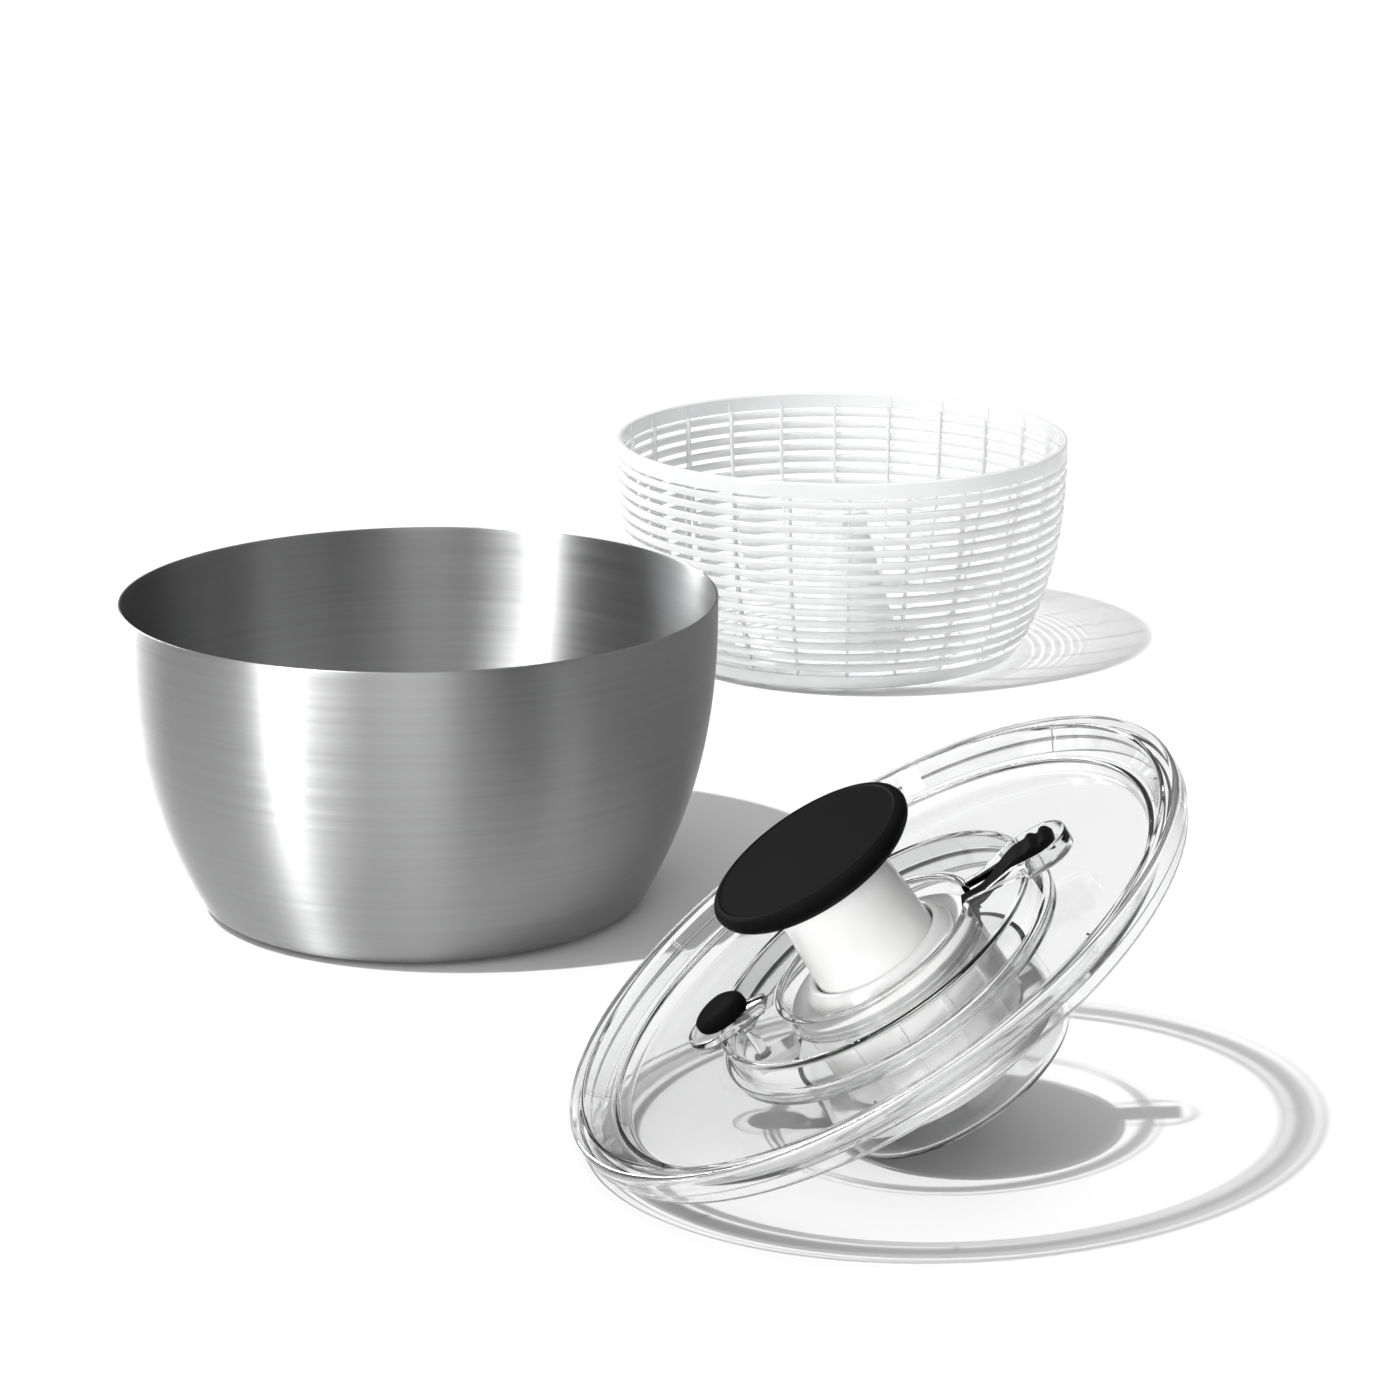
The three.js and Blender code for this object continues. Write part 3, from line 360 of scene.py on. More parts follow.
def buildSurfaceWear():
    # Fine grain and broad cloudiness, shared by every plastic and plated finish.
    group = bpy.data.node_groups.new("surfaceWear", "ShaderNodeTree")
    face = group.interface
    face.new_socket("Vector", in_out="INPUT", socket_type="NodeSocketVector")
    for name in ("Grain Scale", "Cloud Scale", "Roughness", "Roughness Spread"):
        face.new_socket(name, in_out="INPUT", socket_type="NodeSocketFloat")
    for name in ("Roughness", "Height", "Cloud"):
        face.new_socket(name, in_out="OUTPUT", socket_type="NodeSocketFloat")
    given = addNode(group, "NodeGroupInput").outputs
    place = given["Vector"]
    grain, cloud = (
        addNode(group, "ShaderNodeTexNoise", {"Vector": place, "Scale": given[scale], "Detail": detail})
        for scale, detail in (("Grain Scale", 3), ("Cloud Scale", 5))
    )
    centred = mathNode(group, "SUBTRACT", cloud.outputs["Fac"], 0.5)
    rough = mathNode(group, "MULTIPLY_ADD", centred, given["Roughness Spread"], given["Roughness"])
    addNode(group, "NodeGroupOutput", {
        "Roughness": rough, "Height": grain.outputs["Fac"], "Cloud": cloud.outputs["Fac"],
    })
    return group


surfaceWear = buildSurfaceWear()


def addBump(tree, shader, height, strength, depth):
    bump = addNode(tree, "ShaderNodeBump", {"Strength": strength, "Distance": depth, "Height": height})
    tree.links.new(bump.outputs["Normal"], shader.inputs["Normal"])


def addWear(tree, shader, values):
    wear = addNode(tree, "ShaderNodeGroup", {
        "Vector": objectCoords(tree, (1, 1, 1)), "Grain Scale": values["grainScale"],
        "Cloud Scale": values["cloudScale"], "Roughness": values["roughness"],
        "Roughness Spread": values["roughnessSpread"],
    }, node_tree=surfaceWear)
    tree.links.new(wear.outputs["Roughness"], shader.inputs["Roughness"])
    addBump(tree, shader, wear.outputs["Height"], values["grainStrength"], values["grainDepth"])
    return wear.outputs["Cloud"]


def tintedColour(tree, mask, values, shader):
    dark, light = (*values["dark"], 1), (*values["light"], 1)
    mix = addNode(tree, "ShaderNodeMix", {"A": dark, "B": light, "Factor": mask}, data_type="RGBA")
    tree.links.new(mix.outputs["Result"], shader.inputs["Base Color"])


def letThrough(tree, shader, share, colour):
    # Rays for which share is 1 pass straight on, tinted by colour.
    clear = addNode(tree, "ShaderNodeBsdfTransparent", {"Color": colour})
    mix = addNode(tree, "ShaderNodeMixShader", {0: share, 1: shader.outputs[0], 2: clear.outputs[0]})
    tree.links.new(mix.outputs[0], tree.nodes["Material Output"].inputs["Surface"])


steelFinish = {
    "dark": (0.315, 0.316, 0.318),
    "light": (0.365, 0.366, 0.367),
    "contrast": (0.34, 0.66),
    "roughness": (0.38, 0.50),
    "lineScale": (9, 9, 2600),
    "lineStrength": 0.10,
    "lineDepth": 0.0001,
    "bandScale": (4, 4, 420),
    "bandTurn": 0.7,
    "anisotropy": 0.93,
    "anisotropyTurn": 0.25,  # spreads the shine up and down, across the lines
}


def brushedSteel(name, values):
    # Fine lines run round the bowl: noise stretched along the wall and squeezed along its height.
    material, tree, shader = newMaterial(name)
    lines = addNode(tree, "ShaderNodeTexNoise", {
        "Vector": objectCoords(tree, values["lineScale"]), "Scale": 1, "Detail": 6, "Roughness": 0.7,
    }).outputs["Fac"]
    bandPlace = objectCoords(tree, values["bandScale"], values["bandTurn"])
    bands = addNode(tree, "ShaderNodeTexNoise", {"Vector": bandPlace, "Scale": 1, "Detail": 4}).outputs["Fac"]
    both = mathNode(tree, "MULTIPLY_ADD", bands, 0.5, mathNode(tree, "MULTIPLY", lines, 0.5))
    tintedColour(tree, mapRange(tree, both, values["contrast"], (0, 1)), values, shader)
    tree.links.new(mapRange(tree, bands, (0, 1), values["roughness"]), shader.inputs["Roughness"])
    addBump(tree, shader, lines, values["lineStrength"], values["lineDepth"])
    tangent = addNode(tree, "ShaderNodeTangent", direction_type="RADIAL", axis="Z")
    tree.links.new(tangent.outputs["Tangent"], shader.inputs["Tangent"])
    setInputs(shader, {
        "Metallic": 1, "Anisotropic": values["anisotropy"], "Anisotropic Rotation": values["anisotropyTurn"],
    })
    return material


def plainFinish(name, values):
    material, tree, shader = newMaterial(name)
    tintedColour(tree, addWear(tree, shader, values), values, shader)
    setInputs(shader, {
        "Metallic": values.get("metallic", 0), "Coat Weight": values.get("coat", 0), "Coat Roughness": 0.12,
        "Specular IOR Level": values.get("specular", 0.5),
    })
    return material


def clearFinish(name, values):
    # Shadow rays pass straight through, weaker near the edges. So does the light that a matt surface gathers,
    # or the lamps would be counted twice.
    material, tree, shader = newMaterial(name)
    addWear(tree, shader, values)
    setInputs(shader, {"Base Color": (*values["tint"], 1), "IOR": values["ior"], "Transmission Weight": 1})
    facing = addNode(tree, "ShaderNodeLayerWeight", {"Blend": 0.5}).outputs["Facing"]
    slanted = mapRange(tree, facing, values["edgeBand"], (0, 1), interpolation_type="SMOOTHSTEP")
    centre, edge = (*values["shadowCentre"], 1), (*values["shadowEdge"], 1)
    shade = addNode(tree, "ShaderNodeMix", {"A": centre, "B": edge, "Factor": slanted}, data_type="RGBA")
    path = addNode(tree, "ShaderNodeLightPath").outputs
    passes = mathNode(tree, "MAXIMUM", path["Is Shadow Ray"], path["Is Diffuse Ray"])
    letThrough(tree, shader, passes, shade.outputs["Result"])
    return material


def frostedFinish(name, values):
    # Part of the light goes on through each face, so the basket glows inside and its shadow stays pale.
    material, tree, shader = newMaterial(name)
    tintedColour(tree, addWear(tree, shader, values), values, shader)
    setInputs(shader, {
        "IOR": values["ior"], "Transmission Weight": values["transmission"], "Alpha": values["alpha"],
        "Specular IOR Level": values["specular"],
    })
    shadowRay = addNode(tree, "ShaderNodeLightPath").outputs["Is Shadow Ray"]
    letThrough(tree, shader, shadowRay, (*values["shadowTint"], 1))
    return material


whiteFinish = {
    "dark": (0.90, 0.90, 0.895), "light": (0.95, 0.95, 0.945), "roughness": 0.24, "roughnessSpread": 0.08,
    "grainScale": 1400, "cloudScale": 22, "grainStrength": 0.04, "grainDepth": 0.0001, "coat": 0.5,
}
softBlackFinish = {
    "dark": (0.003, 0.003, 0.003), "light": (0.006, 0.006, 0.006), "roughness": 0.5, "roughnessSpread": 0.12,
    "grainScale": 2600, "cloudScale": 30, "grainStrength": 0.18, "grainDepth": 0.00015, "specular": 0.012,
}
rubberFinish = {
    "dark": (0.018, 0.018, 0.018), "light": (0.032, 0.032, 0.032), "roughness": 0.72, "roughnessSpread": 0.12,
    "grainScale": 1800, "cloudScale": 40, "grainStrength": 0.3, "grainDepth": 0.0002, "specular": 0.35,
}
platedFinish = {
    "dark": (0.46, 0.46, 0.45), "light": (0.62, 0.62, 0.60), "roughness": 0.28, "roughnessSpread": 0.14,
    "grainScale": 2200, "cloudScale": 60, "grainStrength": 0.1, "grainDepth": 0.0001, "metallic": 1,
}
clearPlasticFinish = {
    "tint": (0.955, 0.958, 0.958), "ior": 1.47, "roughness": 0.02, "roughnessSpread": 0.02,
    "grainScale": 300, "cloudScale": 18, "grainStrength": 0.012, "grainDepth": 0.0002,
    "edgeBand": (0.04, 0.45), "shadowCentre": (0.985, 0.985, 0.985), "shadowEdge": (0.30, 0.30, 0.30),
}
frostedPlasticFinish = {
    "dark": (0.83, 0.833, 0.837), "light": (0.89, 0.893, 0.897), "roughness": 0.22, "roughnessSpread": 0.1,
    "grainScale": 1100, "cloudScale": 25, "grainStrength": 0.05, "grainDepth": 0.0001, "ior": 1.45,
    "transmission": 0.22, "alpha": 0.95, "specular": 0.5, "shadowTint": (0.64, 0.64, 0.64),
}

steelMaterial = brushedSteel("brushedSteel", steelFinish)
whiteMaterial = plainFinish("satinWhitePlastic", whiteFinish)
softBlackMaterial = plainFinish("softTouchBlack", softBlackFinish)
rubberMaterial = plainFinish("mattRubber", rubberFinish)
platedMaterial = plainFinish("platedSteel", platedFinish)
clearMaterial = clearFinish("clearPlastic", clearPlasticFinish)
frostedMaterial = frostedFinish("frostedPlastic", frostedPlasticFinish)
print("materials ready")


def newTree(name, inputs):
    tree = bpy.data.node_groups.new(name, "GeometryNodeTree")
    tree.interface.new_socket("Geometry", in_out="OUTPUT", socket_type="NodeSocketGeometry")
    for label, kind in inputs:
        tree.interface.new_socket(label, in_out="INPUT", socket_type="NodeSocket" + kind)
    return tree, addNode(tree, "NodeGroupInput").outputs


def vectorNode(tree, x=0.0, y=0.0, z=0.0):
    return addNode(tree, "ShaderNodeCombineXYZ", {0: x, 1: y, 2: z}).outputs[0]


def endTree(tree, geometry, materialSocket):
    real = addNode(tree, "GeometryNodeRealizeInstances", {"Geometry": geometry})
    painted = {"Geometry": real.outputs[0], "Material": materialSocket}
    paint = addNode(tree, "GeometryNodeSetMaterial", painted)
    addNode(tree, "NodeGroupOutput", {"Geometry": paint.outputs["Geometry"]})
    return tree


def turnedInstances(tree, geometry, count):
    # Copies a shape round the axis.
    index = addNode(tree, "GeometryNodeInputIndex").outputs[0]
    angle = mathNode(tree, "MULTIPLY", index, mathNode(tree, "DIVIDE", 2 * math.pi, count))
    instances = addNode(tree, "GeometryNodeInstanceOnPoints", {
        "Points": addNode(tree, "GeometryNodePoints", {"Count": count}).outputs["Points"],
        "Instance": geometry, "Rotation": vectorNode(tree, z=angle),
    })
    return instances.outputs["Instances"]


def roundedBar(tree, width, height, rounding):
    bar = addNode(tree, "GeometryNodeCurvePrimitiveQuadrilateral", {"Width": width, "Height": height})
    fillet = addNode(tree, "GeometryNodeFilletCurve", mode="POLY")
    fillet.inputs["Count"].default_value = 2
    tree.links.new(rounding, fillet.inputs["Radius"])
    tree.links.new(bar.outputs["Curve"], fillet.inputs["Curve"])
    return fillet.outputs["Curve"]


def sweptCurve(tree, curve, section, caps):
    return addNode(tree, "GeometryNodeCurveToMesh", {
        "Curve": curve, "Profile Curve": section, "Fill Caps": caps,
    }).outputs["Mesh"]


def buildWovenWall():
    # Level hoops crossed by upright ribs, all on one flared wall.
    tree, given = newTree("wovenWall", [
        ("Rim Radius", "Float"), ("Wall Height", "Float"), ("Flare", "Float"), ("Curve", "Float"),
        ("Hoop Count", "Int"), ("Lowest Hoop", "Float"), ("Hoop Pitch", "Float"),
        ("Hoop Depth", "Float"), ("Hoop Height", "Float"), ("Hoop Rounding", "Float"), ("Hoop Steps", "Int"),
        ("Rib Count", "Int"), ("Rib Foot", "Float"), ("Rib Top", "Float"), ("Rib Depth", "Float"),
        ("Rib Width", "Float"), ("Rib Rounding", "Float"), ("Rib Inset", "Float"), ("Rib Steps", "Int"),
        ("Material", "Material"),
    ])

    def wallRadius(height):
        share = mathNode(tree, "DIVIDE", height, given["Wall Height"])
        toRim = mathNode(tree, "MAXIMUM", mathNode(tree, "SUBTRACT", 1.0, share), 0.0)
        bulge = mathNode(tree, "MULTIPLY", given["Flare"], mathNode(tree, "POWER", toRim, given["Curve"]))
        return mathNode(tree, "SUBTRACT", given["Rim Radius"], bulge)

    place = addNode(tree, "GeometryNodeInputPosition")
    level = addNode(tree, "ShaderNodeSeparateXYZ", {0: place.outputs[0]}).outputs["Z"]
    column = addNode(tree, "GeometryNodeMeshLine", {
        "Count": given["Hoop Count"], "Start Location": vectorNode(tree, z=given["Lowest Hoop"]),
        "Offset": vectorNode(tree, z=given["Hoop Pitch"]),
    }, mode="OFFSET")
    halfDepth = mathNode(tree, "MULTIPLY", given["Hoop Depth"], 0.5)
    middle = mathNode(tree, "SUBTRACT", wallRadius(level), halfDepth)
    unitCircle = {"Resolution": given["Hoop Steps"], "Radius": 1}
    circle = addNode(tree, "GeometryNodeCurvePrimitiveCircle", unitCircle)
    hoops = addNode(tree, "GeometryNodeInstanceOnPoints", {
        "Points": column.outputs["Mesh"], "Instance": circle.outputs["Curve"],
        "Scale": vectorNode(tree, middle, middle, 1.0),
    })
    realHoops = addNode(tree, "GeometryNodeRealizeInstances", {"Geometry": hoops.outputs["Instances"]})
    upright = addNode(tree, "GeometryNodeSetCurveNormal", {"Curve": realHoops.outputs[0]}, mode="Z_UP")
    even = addNode(tree, "GeometryNodeSetCurveRadius", {"Curve": upright.outputs["Curve"], "Radius": 1})
    hoopSection = roundedBar(tree, given["Hoop Depth"], given["Hoop Height"], given["Hoop Rounding"])
    hoopMesh = sweptCurve(tree, even.outputs["Curve"], hoopSection, False)

    line = addNode(tree, "GeometryNodeCurvePrimitiveLine", {
        "Start": vectorNode(tree, z=given["Rib Foot"]), "End": vectorNode(tree, z=given["Rib Top"]),
    })
    fine = addNode(tree, "GeometryNodeResampleCurve", {"Curve": line.outputs[0], "Count": given["Rib Steps"]})
    ribReach = mathNode(tree, "SUBTRACT", wallRadius(level), given["Rib Inset"])
    bend = addNode(tree, "GeometryNodeSetPosition", {
        "Geometry": fine.outputs["Curve"], "Position": vectorNode(tree, ribReach, 0.0, level),
    })
    ribSection = roundedBar(tree, given["Rib Depth"], given["Rib Width"], given["Rib Rounding"])
    ribMesh = sweptCurve(tree, bend.outputs["Geometry"], ribSection, True)
    ribs = turnedInstances(tree, ribMesh, given["Rib Count"])
    join = addNode(tree, "GeometryNodeJoinGeometry", {"Geometry": ribs})
    tree.links.new(hoopMesh, join.inputs["Geometry"])
    return endTree(tree, join.outputs["Geometry"], given["Material"])


def buildBarRing():
    # Small upright or lying blocks set round a circle.
    tree, given = newTree("barRing", [
        ("Bar Count", "Int"), ("Radius", "Float"), ("Depth", "Float"), ("Width", "Float"),
        ("Height", "Float"), ("Foot", "Float"), ("Lean", "Float"), ("Material", "Material"),
    ])
    bar = addNode(tree, "GeometryNodeMeshCube", {
        "Size": vectorNode(tree, given["Depth"], given["Width"], given["Height"]),
    })
    middle = mathNode(tree, "MULTIPLY_ADD", given["Height"], 0.5, given["Foot"])
    move = addNode(tree, "GeometryNodeTransform", {
        "Geometry": bar.outputs["Mesh"], "Translation": vectorNode(tree, given["Radius"], 0.0, middle),
        "Rotation": vectorNode(tree, 0.0, given["Lean"], 0.0),
    })
    ring = turnedInstances(tree, move.outputs["Geometry"], given["Bar Count"])
    return endTree(tree, ring, given["Material"])


def buildCoil():
    tree, given = newTree("coilWire", [
        ("Turns", "Float"), ("Coil Radius", "Float"), ("Length", "Float"), ("Wire Radius", "Float"),
        ("Foot", "Float"), ("Material", "Material"),
    ])
    spiral = addNode(tree, "GeometryNodeCurveSpiral", {
        "Resolution": 32, "Rotations": given["Turns"], "Start Radius": given["Coil Radius"],
        "End Radius": given["Coil Radius"], "Height": given["Length"],
    })
    section = {"Resolution": 10, "Radius": given["Wire Radius"]}
    wire = addNode(tree, "GeometryNodeCurvePrimitiveCircle", section)
    tube = sweptCurve(tree, spiral.outputs["Curve"], wire.outputs["Curve"], True)
    move = addNode(tree, "GeometryNodeTransform", {
        "Geometry": tube, "Translation": vectorNode(tree, z=given["Foot"]),
    })
    return endTree(tree, move.outputs["Geometry"], given["Material"])


wovenWall = buildWovenWall()
barRing = buildBarRing()
coilWire = buildCoil()


def grownPiece(name, tree, values, place):
    # Runs a node tool on an empty mesh and keeps its result as a plain mesh.
    holder = linked(name, bpy.data.meshes.new(name))
    modifier = holder.modifiers.new(tree.name, "NODES")
    modifier.node_group = tree
    for item in tree.interface.items_tree:
        if item.in_out == "INPUT" and item.name in values:
            modifier[item.identifier] = values[item.name]
    graph = bpy.context.evaluated_depsgraph_get()
    mesh = bpy.data.meshes.new_from_object(holder.evaluated_get(graph))
    bpy.data.objects.remove(holder)
    shape = bmesh.new()
    shape.from_mesh(mesh)
    bpy.data.meshes.remove(mesh)
    return meshObject(name, closedMesh(name, shape), place)


def joinPieces(name, pieces):
    shape = bmesh.new()
    for piece in pieces:
        shape.from_mesh(piece.data)
        bpy.data.objects.remove(piece)
    mesh = bpy.data.meshes.new(name)
    shape.to_mesh(mesh)
    shape.free()
    smoothFaces(mesh)
    return linked(name, mesh)


print("node tools ready")


def flaredRadius(wall, height):
    toRim = max(1 - height / wall["height"], 0)
    return wall["radius"] - wall["flare"] * toRim ** wall["curve"]


def flaredOutline(wall, stand, cornerSteps, sideSteps):
    # From the edge of the flat underside, round the bottom corner and up to the rim.
    slope = wall["flare"] * wall["curve"] / wall["height"]
    lean = math.atan(slope * (1 - wall["corner"] / wall["height"]) ** (wall["curve"] - 1))
    join = stand + wall["corner"] * (1 - math.sin(lean))
    centre = flaredRadius(wall, join) - wall["corner"] * math.cos(lean)
    points = []
    for i in range(cornerSteps + 1):
        angle = -math.pi / 2 + (math.pi / 2 - lean) * i / cornerSteps
        height = stand + wall["corner"] * (1 + math.sin(angle))
        points.append((centre + wall["corner"] * math.cos(angle), height))
    for i in range(1, sideSteps + 1):
        height = join + (wall["height"] - join) * i / sideSteps
        points.append((flaredRadius(wall, height), height))
    return points


def insetOutline(points, thickness):
    inner = []
    for i, (radius, height) in enumerate(points):
        before = Vector(points[max(i - 1, 0)])
        after = Vector(points[min(i + 1, len(points) - 1)])
        along = (after - before).normalized()
        if i == 0:
            along = Vector((1, 0))
        if i == len(points) - 1:
            along = Vector((0, 1))
        inner.append((radius - along.y * thickness, height + along.x * thickness))
    return inner


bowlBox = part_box("bowl_shell")
bowlSize = {
    "radius": (bowlBox[1][0] - bowlBox[0][0]) / 2 / millimetre,
    "height": bowlBox[1][2] / millimetre,
    "flare": 34.5,
    "curve": 2.45,
    "corner": 12.0,
    "stand": 0.6,
    "wall": 1.0,
    "rimRoll": 0.45,
    "padRadius": 80.3,
    "recess": 2.3,
    "bossRadius": 34.0,
    "bossSlope": 8.0,
    "bossHeight": 5.0,
    "floorBlend": 0.4,
    "footInset": 3.0,
    "cornerSteps": 10,
    "sideSteps": 44,
    "stepsRound": 192,
}


def makeBowl(size, rimSteps=6, bossSteps=6):
    outside = flaredOutline(size, size["stand"], size["cornerSteps"], size["sideSteps"])
    floorTop = size["recess"] + size["wall"]
    inside = [p for p in insetOutline(outside, size["wall"]) if p[1] > floorTop + size["floorBlend"]]
    footRadius = inside[0][0] - size["footInset"]
    halfWall = size["wall"] / 2
    rim = []
    for i in range(1, rimSteps):
        angle = math.pi * i / rimSteps
        height = size["height"] - size["rimRoll"] * (1 - math.sin(angle))
        rim.append((size["radius"] - halfWall + halfWall * math.cos(angle), height))
    for points in (outside, inside):
        points[-1] = (points[-1][0], points[-1][1] - size["rimRoll"])
    rise = size["bossHeight"]
    underBoss = [(0, size["recess"] + rise)]
    overBoss = [(0, floorTop + rise)]
    for i in range(bossSteps + 1):  # an easy S-shaped step round the raised middle
        t = i / bossSteps
        reach = size["bossRadius"] + size["bossSlope"] * t
        underBoss.append((reach, size["recess"] + rise * (1 - eased(t))))
        overBoss.append((reach, floorTop + rise * (1 - eased(t))))
    outline = underBoss + [(size["padRadius"], size["recess"]), (size["padRadius"], size["stand"])]
    outline += outside + rim + inside[::-1] + [(footRadius, floorTop)] + overBoss[::-1]
    shape = turnedShape(outline, size["stepsRound"])
    return meshObject("steelBowl", closedMesh("steelBowl", shape), bowlPlace)


padSize = {
    "radius": 79.8, "thickness": 1.95, "grooves": 7, "grooveDepth": 0.35, "grooveWidth": 1.6, "slope": 0.3,
}


def makeBasePad(size):
    corners = [(0, 0.0)]
    half, slope = size["grooveWidth"] / 2, size["slope"]
    for i in range(1, size["grooves"] + 1):
        middle = size["radius"] / (size["grooves"] + 1) * i
        corners += [(middle - half, 0.0), (middle - half + slope, size["grooveDepth"])]
        corners += [(middle + half - slope, size["grooveDepth"]), (middle + half, 0.0)]
    corners += [(size["radius"], 0.0, 0.4), (size["radius"], size["thickness"], 0.3), (0, size["thickness"])]
    return turnedPiece("gripPad", corners, bowlPlace, 96)


finishPiece(makeBowl(bowlSize), steelMaterial, "bowl", "brushed_steel", "bowl_shell")
finishPiece(makeBasePad(padSize), rubberMaterial, "bowl", "black_rubber", "base_pad")
print("bowl ready")


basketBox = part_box("basket_body")
basketSize = {
    "radius": (basketBox[1][0] - basketBox[0][0]) / 2 / millimetre,
    "height": basketBox[1][2] / millimetre,
    "flare": 27.0,
    "curve": 2.65,
    "corner": 5.0,
    "stand": 2.5,
    "wall": 2.0,
    "ribs": 24,
    "hoops": 15,
    "hoopPitch": 6.6,
    "hoopHeight": 3.9,
    "hoopDepth": 3.0,
    "hoopRounding": 1.0,
    "hoopSteps": 144,
    "ribDepth": 1.5,
    "ribWidth": 3.2,
    "ribRounding": 0.4,
    "ribGap": 0.3,
    "ribSteps": 28,
    "rimBand": 8.5,
    "baseBand": 10.0,
    "towerRoot": 30.0,
    "towerTip": 13.0,
    "towerTop": 79.0,
    "hexFlats": 28.0,
    "hexDepth": 9.0,
    "bushBore": 28.0,
    "floorRings": 6,
    "ringHalf": 3.2,
    "spokeWidth": 3.0,
    "tickInset": 2.9,
    "tickDepth": 0.8,
    "tickWidth": 2.4,
    "tickShort": 2.4,
    "tickFoot": 0.8,
    "stepsRound": 192,
}


def makeBasketWall(size):
    lowest = size["stand"] + size["baseBand"] + size["hoopPitch"] / 2
    highest = size["height"] - size["rimBand"] - size["hoopPitch"] / 2
    pitch = (highest - lowest) / (size["hoops"] - 1)
    values = {
        "Rim Radius": size["radius"], "Wall Height": size["height"], "Flare": size["flare"],
        "Curve": size["curve"], "Hoop Count": size["hoops"], "Lowest Hoop": lowest, "Hoop Pitch": pitch,
        "Hoop Depth": size["hoopDepth"], "Hoop Height": size["hoopHeight"],
        "Hoop Rounding": size["hoopRounding"], "Hoop Steps": size["hoopSteps"], "Rib Count": size["ribs"],
        "Rib Foot": size["stand"] + size["baseBand"] - 1, "Rib Top": size["height"] - size["rimBand"] + 1,
        "Rib Depth": size["ribDepth"], "Rib Width": size["ribWidth"], "Rib Rounding": size["ribRounding"],
        "Rib Inset": size["hoopDepth"] + size["ribGap"], "Rib Steps": size["ribSteps"],
        "Material": frostedMaterial,
    }
    return grownPiece("basketWeave", wovenWall, values, basketPlace)


def makeBasketBands(size):
    # The plain band under the rim, with its rounded lip, and the one round the floor.
    top = size["height"]
    low = top - size["rimBand"]
    outer = flaredRadius(size, low)
    rim = turnedPiece("rimBand", [
        (outer - 2.4, low, 0.6), (outer, low, 0.6), (size["radius"], top - 2.6), (size["radius"], top, 1.1),
        (size["radius"] - 2.8, top, 1.1), (size["radius"] - 2.6, top - 2.6),
    ], basketPlace, size["stepsRound"])
    bandTop = size["stand"] + size["baseBand"]
    outside = [p for p in flaredOutline(size, size["stand"], 6, 40) if p[1] <= bandTop]
    inside = insetOutline(outside, size["wall"])
    inside[-1] = (inside[-1][0] - 0.3, outside[-1][1])
    ringFoot = outside[0][0] - 4
    floorTop = size["stand"] + size["wall"]
    outline = [(ringFoot, size["stand"])] + outside + inside[::-1] + [(ringFoot, floorTop)]
    shape = turnedShape(outline, size["stepsRound"])
    base = meshObject("baseBand", closedMesh("baseBand", shape), basketPlace)
    return [rim, base], ringFoot


def makeBasketFloor(size, edge):
    # Spokes and rings, so that the water drains through the floor as well.
    pieces = []
    start = size["towerRoot"] - 1
    length = edge + 1 - start
    pieces.append(grownPiece("floorSpokes", barRing, {
        "Bar Count": size["ribs"], "Radius": start + length / 2, "Depth": length,
        "Width": size["spokeWidth"], "Height": size["wall"], "Foot": size["stand"], "Lean": 0.0,
        "Material": frostedMaterial,
    }, basketPlace))
    step = (edge - size["towerRoot"]) / (size["floorRings"] + 1)
    low, high = size["stand"] + 0.1, size["stand"] + size["wall"] + 0.2
    for i in range(1, size["floorRings"] + 1):
        inner = size["towerRoot"] + step * i - size["ringHalf"]
        outer = size["towerRoot"] + step * i + size["ringHalf"]
        pieces.append(turnedPiece(f"floorRing{i}", [
            (inner, low, 0.4), (outer, low, 0.4), (outer, high, 0.4), (inner, high, 0.4),
        ], basketPlace, 96))
    return pieces


def makeTower(size):
    hexFoot = size["towerTop"] - size["hexDepth"]
    floorTop = size["stand"] + size["wall"]
    tower = turnedPiece("tower", [
        (0, hexFoot - 2.2), (size["towerTip"] - 2.2, hexFoot - 2.2, 2.0), (size["bushBore"], floorTop + 7),
        (size["bushBore"], size["stand"], 0.4), (size["towerRoot"] + 3, size["stand"], 0.4),
        (size["towerRoot"] + 3, floorTop, 0.4), (size["towerRoot"], floorTop + 2, 1.5),
        (size["towerRoot"], floorTop + 8, 3.0), (size["towerTip"] + 1, hexFoot - 0.1, 1.0),
        (0, hexFoot - 0.1),
    ], basketPlace, 96)
    hexRadius = size["hexFlats"] / 2 / math.cos(math.pi / 6)
    tip = turnedPiece("towerTip", [
        (0, hexFoot - 0.4), (hexRadius, hexFoot - 0.4, 0.5), (hexRadius, size["towerTop"], 1.6),
        (0, size["towerTop"]),
    ], basketPlace, 6, 3, 0.5)
    return [tower, tip]


def makeRimTicks(size):
    # Short upright lands inside the rim band, one at each rib.
    return grownPiece("rimTicks", barRing, {
        "Bar Count": size["ribs"], "Radius": size["radius"] - size["tickInset"], "Depth": size["tickDepth"],
        "Width": size["tickWidth"], "Height": size["rimBand"] - size["tickShort"],
        "Foot": size["height"] - size["rimBand"] + size["tickFoot"], "Lean": 0.0, "Material": frostedMaterial,
    }, basketPlace)


basketFinish = (frostedMaterial, "basket", "frosted_plastic", "basket_body")
bands, floorEdge = makeBasketBands(basketSize)
wallPieces = [makeBasketWall(basketSize), makeRimTicks(basketSize)] + bands
finishPiece(joinPieces("basketWall", wallPieces), *basketFinish)
floorPieces = makeBasketFloor(basketSize, floorEdge) + makeTower(basketSize)
finishPiece(joinPieces("basketFloor", floorPieces), *basketFinish)

